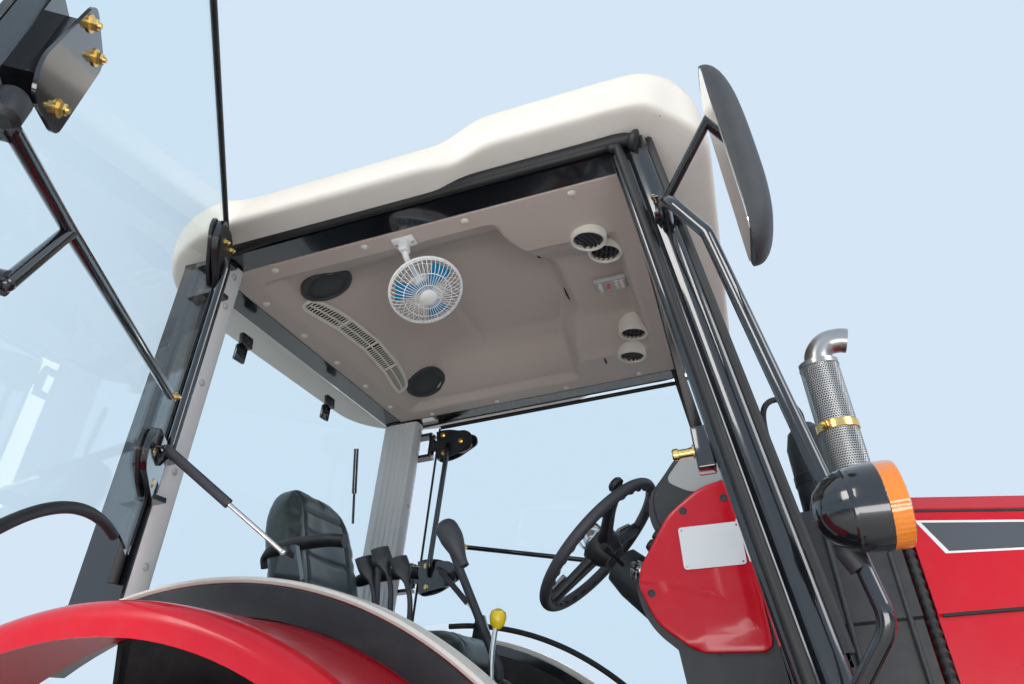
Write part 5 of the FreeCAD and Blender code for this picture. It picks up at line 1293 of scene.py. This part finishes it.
for _, side in SIDES:
    outline = rounded([Vector((x, 0, z)) for x, z in CHEEK], 0.030, 8)
    centre = sum(outline, Vector()) / len(outline)
    rows = []
    for edge_drop, shrink in ((0.018, 1.0), (0.006, 1.0), (0.0015, 0.988), (0.0, 0.965)) + tuple(
            (0.0, 0.965 - 0.06 * step) for step in range(1, 16)):
        row = []
        for point in outline:
            x, z = centre.x + (point.x - centre.x) * shrink, centre.z + (point.z - centre.z) * shrink
            row.append(spot(x, side * max(0.2585, cheek_out(x, z) - edge_drop), z))
        rows.append(row)
    made = skin(cheeks, rows)
    cheeks.faces.new(made[0])
    cheeks.faces.new(made[-1])
    shape = [spot(x, side * 0.2772, z) for x, z in ((0.992, 1.604), (1.128, 1.600), (1.130, 1.694),
                                                    (0.994, 1.698))]
    slabbed(plates, rounded(shape, 0.008, 3), LEFT * side, 0.0014, 0.0)
    for x, z in ((0.999, 1.611), (1.121, 1.607), (1.123, 1.687), (1.001, 1.691)):
        spun(rivets, spot(x, side * 0.2785, z), LEFT * side, [(0.003, 0.0), (0.002, 0.0012)], 12)
    for x, z in ((1.012, 1.736), (0.912, 1.563), (1.108, 1.752)):
        spun(knobs, spot(x, side * (cheek_out(x, z) - 0.002), z), LEFT * side,
             [(0.0088, 0.0), (0.0088, 0.0035), (0.0062, 0.0042), (0.0050, 0.0026)], 24)
piece("dash_cheeks", cheeks, "root", "red_paint")
piece("dash_plates", plates, "root", "blank_plate")
piece("dash_rivets", rivets, "root", "bright_steel")
piece("dash_knobs", knobs, "root", "dark_plastic")
print("cheeks: 2")

# %% Instrument hood and column
hood, shiny, seam, switches = (bmesh.new() for _ in range(4))
rows = []
for y, shrink in ((-0.1745, 0.90), (-0.1740, 0.97), (-0.1715, 0.995), (-0.1660, 1.004), (0.1660, 1.004),
                  (0.1715, 0.995),
                  (0.1740, 0.97), (0.1745, 0.90)):
    outline = rounded([Vector((x, 0, z)) for x, z in ((1.020, 1.755), (1.131, 1.796), (1.116, 1.872),
                                                      (1.074, 1.920),
                                                      (1.016, 1.904), (0.934, 1.812), (0.944,
                                                                                       1.712))], 0.040, 6)
    centre = Vector((1.032, 0, 1.81))
    rows.append([spot(centre.x + (p.x - centre.x) * shrink, y,
                      centre.z + (p.z - centre.z) * shrink) for p in outline])
made = skin(hood, rows)
hood.faces.new(made[0])
hood.faces.new(made[-1])
lean = Matrix.Rotation(math.radians(-41), 3, "Y")
block(shiny, spot(0.976, 0, 1.860), (0.110, 0.270, 0.006), Matrix.Rotation(math.radians(-49), 3, "Y"), 0.0025)
for y in (-0.085, 0.0, 0.085):
    spun(seam, spot(0.9725, y, 1.8630), Vector((-0.755, 0, 0.656)),
         [(0.036, 0.0), (0.036, 0.004), (0.033, 0.005), (0.032, 0.001)],
         40, caps=False)
hub = spot(0.762, 0, 1.748)
hub_way = Vector((-math.sin(math.radians(41)), 0, math.cos(math.radians(41))))
spun(seam, hub, -hub_way, [(0.030, 0.064), (0.052, 0.078), (0.060, 0.130), (0.058, 0.240), (0.050, 0.260)], 36)
for side in (-1, 1):
    stalk = flowing([hub - hub_way * 0.095 + LEFT * side * 0.045, hub - hub_way * 0.080 + LEFT * side * 0.105,
                     hub - hub_way * 0.055 + LEFT * side * 0.165], 6)
    bar(switches, stalk, lambda part: 0.0050 + 0.0045 * eased(part, 0.55, 0.8), 14)
for y, x, z in ((-0.195, 0.945, 1.700), (-0.225, 0.930, 1.672), (0.200, 0.945, 1.700)):
    spun(switches, spot(x, y, z), Vector((-0.72, 0, 0.69)), [(0.016, -0.004), (0.016, 0.010), (0.012, 0.018),
                                                             (0.004, 0.020)], 28)
visor = bmesh.new()
for _, side in SIDES:
    shape = [spot(x, side * 0.1746, z) for x, z in ((1.036, 1.802), (1.120, 1.812), (1.108, 1.868),
                                                    (1.072, 1.909),
                                                    (1.026, 1.895), (0.976, 1.842))]
    slabbed(visor, rounded(shape, 0.024, 6), LEFT * side, 0.0025, 0.0)
piece("instrument_visor", visor, "root", "panel_grey")
key = bmesh.new()
spun(key, spot(0.872, -0.095, 1.652), Vector((-0.45, -0.80, 0.30)),
     [(0.019, 0.0), (0.019, 0.012), (0.0155, 0.016), (0.0155, 0.010), (0.009, 0.010), (0.009, 0.030)], 28)
hoop_at = spot(0.858, -0.124, 1.640)
bar(key, [hoop_at + Vector((0.3 * math.sin(math.tau * step / 32), 0.2 * math.sin(math.tau * step / 32),
                            math.cos(math.tau * step / 32))) * 0.019 for step in range(33)], 0.0013, 6)
piece("key_switch", key, "root", "bright_steel")
piece("instrument_hood", hood, "root", "dark_plastic")
piece("instrument_glass", shiny, "root", "black_steel")
piece("instrument_rims", seam, "root", "dark_plastic")
piece("dash_switches", switches, "root", "black_trim")
print("dash done")

# %% [markdown]
# The rim, hub and spokes stay as they are. Over them go moulded spoke covers, a ring of finger grips on the
# rim's far side, a clear dome on the hub, and a small knob that turns with the wheel.

# %% Steering wheel
covers, grips, dome, silver, spinner = (bmesh.new() for _ in range(5))
wheel_up = hub_way.cross(LEFT)
RIM = 0.210


def wheel_place(turned, radius, height):
    return hub + (LEFT * math.cos(turned) + wheel_up * math.sin(turned)) * radius + hub_way * height


for angle in (90, 210, 330):
    turned = math.radians(angle)
    line = [wheel_place(turned, radius, -0.012 + 0.016 * (radius / RIM)) for radius in (0.030, 0.075, 0.120,
                                                                                        0.165, 0.198)]
    rows = []
    across = (-LEFT * math.sin(turned) + wheel_up * math.cos(turned))
    for index, point in enumerate(line):
        wide, deep = (0.028, 0.021, 0.0165, 0.0185, 0.025)[index], (0.016, 0.0135, 0.0130, 0.0135,
                                                                    0.0145)[index]
        rows.append([point + across * wide * math.copysign(abs(math.cos(math.tau * step / 24)) ** 0.7,
                                                           math.cos(math.tau * step / 24))
                     + hub_way * deep * math.copysign(abs(math.sin(math.tau * step / 24)) ** 0.8,
                                                      math.sin(math.tau * step / 24))
                     for step in range(24)])
    made = skin(covers, rows)
    covers.faces.new(made[0])
    covers.faces.new(made[-1])
    for part_in in range(2):
        wide = 0.0155 - 0.004 * part_in
        shape = [wheel_place(turned, radius, 0.010) + across * wide * flank_side
                 for radius, flank_side in ((0.125, -0.75), (0.186, -1.15), (0.186, 1.15), (0.125, 0.75))]
        slabbed(grips, rounded(shape, 0.008, 4), hub_way, 0.006, 0.0045 + 0.003 * part_in)
spun(covers, hub, hub_way, [(0.038, -0.050), (0.052, -0.020), (0.056, 0.000), (0.052, 0.012), (0.044, 0.017)],
     48)
spun(silver, hub, hub_way, [(0.0425, 0.0150), (0.0425, 0.0195), (0.0395, 0.0215), (0.0370, 0.0180)], 48,
     caps=False)
spun(dome, hub, hub_way, [(0.034, 0.0172), (0.0395, 0.0300), (0.0405, 0.0440), (0.034, 0.0570), (0.020, 0.0635),
                          (0.003, 0.0650)], 18)
spun(silver, hub, hub_way, [(0.020, 0.0180), (0.023, 0.0300), (0.012, 0.0470), (0.002, 0.0500)], 18)
for index in range(32):
    start_turn = math.tau * (index + 0.2) / 32
    line = [wheel_place(start_turn + math.tau * 0.6 / 32 * part / 4, RIM - 0.0125,
                        -0.0085) for part in range(5)]
    bar(covers, line, lambda part: 0.0055 * math.sin(math.pi * (0.15 + 0.7 * part)), 10)
knob_turn = math.radians(222)
bar(spinner, [wheel_place(knob_turn, 0.208, 0.008), wheel_place(knob_turn, 0.208, 0.020)], 0.009, 16)
spun(spinner, wheel_place(knob_turn, 0.208, 0.016), hub_way, [(0.014, 0.0), (0.0215, 0.004), (0.0225, 0.014),
                                                              (0.017, 0.021),
                                                         (0.004, 0.023)], 32)
piece("wheel_spokes", covers, "hand_wheel", "black_trim")
piece("wheel_inlays", grips, "hand_wheel", "grip_grey")
piece("wheel_ring", silver, "hand_wheel", "bright_steel")
piece("wheel_dome", dome, "hand_wheel", "clear_lens")
piece("wheel_knob", spinner, "hand_wheel", "black_trim")
print("steering wheel done")

# %% Levers
beans, dark, bright, yellow = (bmesh.new() for _ in range(4))
line = flowing([spot(0.488, -0.330, 1.668), spot(0.474, -0.330, 1.702), spot(0.459, -0.330, 1.738),
                spot(0.447, -0.330, 1.762)], 8)
bar(beans, line, lambda part: 0.0125 + 0.0160 * eased(part, 0.05, 0.72), 24, 1.0)
spun(beans, line[-1], (line[-1] - line[-2]), [(0.0284, -0.001), (0.0265, 0.009), (0.020, 0.018),
                                              (0.010, 0.023), (0.002, 0.0245)], 24)
for x, y, tall in ((0.340, -0.418, 1.716), (0.385, -0.412, 1.690), (0.300, -0.420, 1.700)):
    line = flowing([spot(x - 0.004, y, 1.355), spot(x - 0.004, y, 1.50), spot(x, y, tall - 0.10),
                    spot(x - 0.012, y, tall - 0.05),
                    spot(x - 0.030, y, tall)], 6)
    bar(dark, line, lambda part: 0.0065 + 0.0165 * eased(part, 0.70, 0.86), 16, 0.45)
spun(dark, spot(0.560, -0.330, 1.356), UP, [(0.052, 0.0), (0.050, 0.010), (0.038, 0.016), (0.042, 0.026),
                                            (0.030, 0.034),
                                            (0.033, 0.044), (0.022, 0.054), (0.012, 0.060)], 36)
stick = flowing([spot(0.560, -0.395, 1.355), spot(0.566, -0.395, 1.45), spot(0.580, -0.392, 1.520)], 6)
bar(bright, stick, 0.006, 12)
spun(yellow, spot(0.581, -0.392, 1.512), Vector((0.2, 0, 1)), [(0.008, 0.0), (0.016, 0.010), (0.019, 0.024),
                                                               (0.016, 0.036),
                                                          (0.006, 0.042)], 28)
piece("lever_knob", beans, "root", "soft_grip")
piece("lever_paddles", dark, "root", "black_trim")
piece("lever_rods", bright, "root", "bright_steel")
piece("lever_yellow_knob", yellow, "root", "yellow_knob")
print("levers done")

# %% [markdown]
# ## Seat
# A cushion is foam in a tight cover. We make a rounded closed form that is slightly too small, let a short
# cloth simulation blow it up, and keep each point from moving too far. The seams and pleats are pressed in
# afterwards, because the even mesh of the simulation would lose them.

# %% Stuffing a form


def oval_box(work, centre, half, turn, power=4.0, cuts=18):
    """A box with soft round edges, finely cut."""
    fresh = bmesh.ops.create_cube(work, size=2.0)["verts"]
    bmesh.ops.subdivide_edges(work, edges=list({edge for vert in fresh for edge in vert.link_edges}), cuts=cuts,
                              use_grid_fill=True)
    for vert in work.verts:
        length = sum(abs(value) ** power for value in vert.co) ** (1 / power)
        vert.co = vert.co / length
    for vert in work.verts:
        vert.co = centre + turn @ Vector(tuple(value * size for value, size in zip(vert.co, half)))


def stuffed(name, work, node, cap, press):
    """Blow a closed form up a little, as foam under a cover, then press its seams in."""
    made = piece(name, work, "root", "seat_vinyl", sharp=math.radians(180))
    even = made.modifiers.new("even", "REMESH")
    even.mode = "VOXEL"
    even.voxel_size = 0.0060

    def settle():
        graph = bpy.context.evaluated_depsgraph_get()
        fresh = bpy.data.meshes.new_from_object(made.evaluated_get(graph))
        made.modifiers.clear()
        made.data = fresh

    settle()
    before = [vert.co.copy() for vert in made.data.vertices]
    cloth = made.modifiers.new("blown", "CLOTH")
    cloth.settings.quality = 5
    cloth.settings.use_pressure = True
    cloth.settings.uniform_pressure_force = 4.0
    cloth.settings.effector_weights.gravity = 0.0
    cloth.point_cache.frame_start, cloth.point_cache.frame_end = 1, 20
    for frame_at in range(1, 21):
        scene.frame_set(frame_at)
    settle()
    scene.frame_set(1)
    for vert, start_at in zip(made.data.vertices, before):
        move = vert.co - start_at
        if move.length > cap:
            vert.co = start_at + move.normalized() * cap
    for vert in made.data.vertices:
        vert.co = press(vert.co)
    made.data.shade_smooth()
    if not made.data.materials:
        made.data.materials.append(MADE["seat_vinyl"])
    finer = made.modifiers.new("finer", "SUBSURF")
    finer.levels = finer.render_levels = 1
    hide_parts(node)
    return made


def groove(distance, wide=0.006):
    return math.exp(-(distance / wide) ** 2)


print("stuffing ready")

# %% Seat cushion
CUSHION = spot(0.190, 0, 1.506)
work = bmesh.new()
oval_box(work, CUSHION, (0.230, 0.218, 0.044), Matrix.Identity(3), 5.0)
for vert in work.verts:
    vert.co.z += 0.010 * abs((vert.co.y - CUSHION.y) / 0.22) ** 2 * (1 if vert.co.z > CUSHION.z else 0) - 0.004


def press_cushion(at):
    x, y = at.x - CUSHION.x, at.y - CUSHION.y
    if at.z < CUSHION.z:
        return at
    cross = min(abs(x + shift) for shift in (-0.135, -0.045, 0.045, 0.135)) if abs(y) < 0.118 else 1.0
    dip = 0.0060 * groove(cross) + 0.0080 * groove(abs(abs(y) - 0.125))
    crease = noise.noise(at * 21) * 0.0018 + noise.noise(Vector((at.x * 60, at.y * 18, at.z * 40))) * 0.0008
    return at + UP * (crease - dip)


seat = stuffed("seat_pad", work, "seat_cushion", 0.012, press_cushion)
print("seat cushion points:", len(seat.data.vertices))

# %% Seat back
lean = Matrix.Rotation(math.radians(-8.5), 3, "Y")
BACK = spot(-0.128, 0, 1.770)
work = bmesh.new()
oval_box(work, BACK, (0.044, 0.206, 0.270), lean, 4.5)
for vert in work.verts:
    y, z = vert.co.y - BACK.y, vert.co.z - BACK.z
    vert.co.y = BACK.y + y * (1.0 - 0.16 * eased(z, 0.10, 0.28))
    vert.co.x += 0.018 * (abs(y) / 0.2) ** 2.5 * (1 if (lean.inverted() @ (vert.co - BACK)).x > 0 else 0.2)


def press_back(at):
    local = lean.inverted() @ (at - BACK)
    if local.x < -0.004:
        return at
    side = 0.118 - 0.010 * eased(local.z, 0.10, 0.28)
    cross = min(abs(local.z - level) for level in (-0.19, -0.115, -0.04, 0.035, 0.110,
                                                   0.180)) if abs(local.y) < side else 1.0
    dip = 0.0065 * groove(cross) + 0.0085 * groove(abs(abs(local.y) - side))
    crease = noise.noise(at * 19) * 0.0020 + noise.noise(Vector((at.x * 30, at.y * 14, at.z * 55))) * 0.0010
    return at + lean @ Vector((crease - dip, 0, 0))


back_pad = stuffed("seat_back_pad", work, "seat_back", 0.012, press_back)
print("seat back points:", len(back_pad.data.vertices))

# %% Seat trimmings
rests, pleats = bmesh.new(), bmesh.new()
for side in (-1, 1):
    line = flowing([spot(-0.135, side * 0.232, 1.760), spot(-0.125, side * 0.246, 1.790),
                    spot(-0.060, side * 0.250, 1.806),
                    spot(0.060, side * 0.250, 1.806), spot(0.120, side * 0.248, 1.796)], 8)
    bar(rests, line, lambda part: 0.010 + 0.011 * eased(part, 0.22, 0.40), 18, 0.8)
for step in range(6):
    z = 1.300 + 0.019 * step
    wide = 1.0 + (0.06 if step % 2 else 0.0)
    shape = [spot(0.145 + x * wide, y * wide, z) for x, y in ((-0.17, -0.150), (0.17, -0.150), (0.17, 0.150),
                                                              (-0.17, 0.150))]
    loop = rounded(shape, 0.05, 6)
    bar(pleats, loop + loop[:1], 0.0105, 8)
piece("arm_rests", rests, "root", "black_trim")
piece("seat_bellows", pleats, "root", "seal_rubber")
print("seat done")

# %% [markdown]
# ## Rear window, latches and wheels
# Small metalwork finishes the machine: window hinges and stay, the latch faces on the doors, a ring of nuts
# and a hub cap on each wheel. Rays cast on the frame's own meshes tell where a nut can sit.

# %% Places on a mesh
trees = {}


def seat_on(node, origin, way):
    """The place where a ray first meets a piece of the frame."""
    if node not in trees:
        item = nodes[node]
        box = bmesh.new()
        box.from_mesh(item.data)
        box.transform(item.matrix_world)
        trees[node] = BVHTree.FromBMesh(box)
        box.free()
    hit = trees[node].ray_cast(origin, way)
    return hit[0]


print("disc at", seat_on("rear_rim_left", spot(0.13, 1.2, 0.70), -LEFT))

# %% Wheel nuts and caps
for word, side in SIDES:
    for place_name, x, z, count, circle, cap_size in (("rear", 0.0, 0.70, 8, 0.135, 0.085),
                                                      ("front", 2.10, 0.525, 8, 0.100, 0.060)):
        node = place_name + "_rim_" + word
        body = place_name + "_wheel_" + word
        nuts, caps = bmesh.new(), bmesh.new()
        found = 0
        for index in range(count):
            turned = math.tau * (index + 0.5) / count
            origin = spot(x + circle * math.cos(turned), side * 1.3, z + circle * math.sin(turned))
            seat_at = seat_on(node, origin, LEFT * -side)
            if seat_at:
                bolt(nuts, seat_at - LEFT * side * 0.0005, LEFT * side, 0.0135)
                found += 1
        origin = spot(x + cap_size * 0.5, side * 1.3, z)
        seat_at = seat_on(node, origin, LEFT * -side)
        if seat_at:
            centre = Vector((spot(x, 0, z).x, seat_at.y, spot(x, 0, z).z))
            spun(caps, centre, LEFT * side, [(cap_size, -0.001), (cap_size, 0.006), (cap_size * 0.86, 0.012),
                                             (cap_size * 0.55, 0.015), (cap_size * 0.5,
                                                                        0.020), (cap_size * 0.2, 0.022)], 48)
            piece(place_name + "_hub_cap_" + word, caps, body, "black_steel")
        else:
            caps.free()
        piece(place_name + "_nuts_" + word, nuts, body, "bright_steel")
        print(node, "nuts:", found)

# %% Latches and rear window
brackets, stays = bmesh.new(), bmesh.new()
for word, side in SIDES:
    body = "cab_door_" + word
    latch_plate, latch_gold, latch_roller = bmesh.new(), bmesh.new(), bmesh.new()
    shape = [on_door(side, x, 0, z) for x, z in ((0.988, 1.782), (0.984, 1.912), (1.052, 1.926),
                                                 (1.070, 1.800), (1.050, 1.766))]
    slabbed(latch_plate, rounded(shape, 0.016, 5), door_way(side, (0, -1, 0)), 0.004, 0.0520)
    for x, z in ((1.006, 1.895), (1.044, 1.900), (1.012, 1.800)):
        bolt(latch_gold, on_door(side, x, -0.0560, z), door_way(side, (0, -1, 0)), 0.0085)
    spun(latch_roller, on_door(side, 1.046, -0.040, 1.768), door_way(side, (0, 0, -1)),
         [(0.012, 0.0), (0.016, 0.006), (0.016, 0.030), (0.010, 0.036)], 24)
    piece("latch_plate_" + word, latch_plate, body, "black_steel")
    piece("latch_bolts_" + word, latch_gold, body, "zinc_gold")
    piece("latch_roller_" + word, latch_roller, body, "black_trim")
for y in (-0.35, 0.15):
    block(brackets, spot(-0.196, y, 2.432), (0.018, 0.052, 0.040), None, 0.004)
    block(brackets, spot(-0.212, y, 2.392), (0.014, 0.046, 0.052), Matrix.Rotation(math.radians(9), 3, "Y"),
          0.004)
bar(stays, [spot(-0.205, 0.380, 2.330), spot(-0.235, 0.430, 2.170)], 0.0095, 16)
bar(stays, [spot(-0.235, 0.430, 2.170), spot(-0.248, 0.452, 2.060)], 0.0050, 12)
piece("rear_window_hinges", brackets, "root", "black_steel")
piece("rear_window_stay", stays, "root", "black_steel")
print("metalwork done")

# %% [markdown]
# ## Lights and floor
# The light is soft and even, as in a studio: a pale world all round, one large lamp from the side where the
# sun stood, and a weaker one ahead. The world shows white to the camera without lighting the object more.

# %% Floor
floor_data = bpy.data.meshes.new("floor")
floor_data.from_pydata([(-14, -14, 0), (14, -14, 0), (14, 14, 0), (-14, 14, 0)], [], [(0, 1, 2, 3)])
floor = bpy.data.objects.new("floor", floor_data)
scene.collection.objects.link(floor)
floor_paint = finish("floor_paint", (0.74, 0.74, 0.73), 0.85, shade=0.02)
floor_data.materials.append(floor_paint)
mixed = floor_paint.node_tree
shown_floor = mixed.nodes.new("ShaderNodeEmission")
shown_floor.inputs["Color"].default_value = (0.70, 0.83, 0.97, 1)
shown_floor.inputs["Strength"].default_value = 0.95
floor_place = mixed.nodes.new("ShaderNodeTexCoord")
far = mixed.nodes.new("ShaderNodeVectorMath")
far.operation = "LENGTH"
mixed.links.new(floor_place.outputs["Object"], far.inputs[0])
fade = mixed.nodes.new("ShaderNodeMapRange")
fade.interpolation_type = "SMOOTHSTEP"
fade.inputs["From Min"].default_value = 2.6
fade.inputs["From Max"].default_value = 7.0
mixed.links.new(far.outputs["Value"], fade.inputs["Value"])
sight = mixed.nodes.new("ShaderNodeLightPath")
direct = mixed.nodes.new("ShaderNodeMath")
direct.operation = "MULTIPLY"
mixed.links.new(fade.outputs["Result"], direct.inputs[0])
mixed.links.new(sight.outputs["Is Camera Ray"], direct.inputs[1])
blended = mixed.nodes.new("ShaderNodeMixShader")
mixed.links.new(direct.outputs["Value"], blended.inputs["Fac"])
mixed.links.new(mixed.nodes["Principled BSDF"].outputs["BSDF"], blended.inputs[1])
mixed.links.new(shown_floor.outputs["Emission"], blended.inputs[2])
mixed.links.new(blended.outputs["Shader"], mixed.nodes["Material Output"].inputs["Surface"])
print("floor laid")

# %% Lamps and world
world = bpy.data.worlds.new("soft_studio")
scene.world = world
world.use_nodes = True
sky = world.node_tree
back = sky.nodes["Background"]
back.inputs["Color"].default_value = (0.80, 0.86, 0.95, 1)
back.inputs["Strength"].default_value = 0.36
shown = sky.nodes.new("ShaderNodeBackground")
shown.inputs["Color"].default_value = (0.70, 0.83, 0.97, 1)
shown.inputs["Strength"].default_value = 0.95
rays = sky.nodes.new("ShaderNodeLightPath")
seen = rays.outputs["Is Camera Ray"]
for kind in ("Is Glossy Ray", "Is Transmission Ray"):
    either = sky.nodes.new("ShaderNodeMath")
    either.operation = "MAXIMUM"
    sky.links.new(seen, either.inputs[0])
    sky.links.new(rays.outputs[kind], either.inputs[1])
    seen = either.outputs["Value"]
pick = sky.nodes.new("ShaderNodeMixShader")
sky.links.new(seen, pick.inputs["Fac"])
sky.links.new(back.outputs["Background"], pick.inputs[1])
sky.links.new(shown.outputs["Background"], pick.inputs[2])
sky.links.new(pick.outputs["Shader"], sky.nodes["World Output"].inputs["Surface"])


def lamp(name, place_at, aim, power, size, tint=(1, 1, 1)):
    """A large soft lamp that faces a place."""
    data = bpy.data.lights.new(name, "AREA")
    data.energy = power
    data.shape = "RECTANGLE"
    data.size, data.size_y = size
    data.color = tint
    made_lamp = bpy.data.objects.new(name, data)
    scene.collection.objects.link(made_lamp)
    made_lamp.location = place_at
    made_lamp.rotation_euler = (aim - place_at).to_track_quat("-Z", "Y").to_euler()
    made_lamp.visible_camera = False
    made_lamp.visible_transmission = False


lamp("side_lamp", spot(-1.6, -5.2, 4.6), spot(0.3, -0.4, 1.7), 190, (3.2, 2.4), (1.0, 0.97, 0.92))
lamp("front_lamp", spot(5.4, -2.6, 3.6), spot(0.8, 0, 1.6), 95, (2.4, 3.0))
lamp("low_fill", spot(1.4, -4.2, 0.5), spot(0.5, 0, 2.2), 80, (4.0, 1.0))
lamp("left_lamp", spot(-1.0, 5.5, 4.0), spot(0.3, 0.2, 1.5), 115, (3.5, 2.5))
scene.view_settings.view_transform = "Standard"
print("lamps: 4")
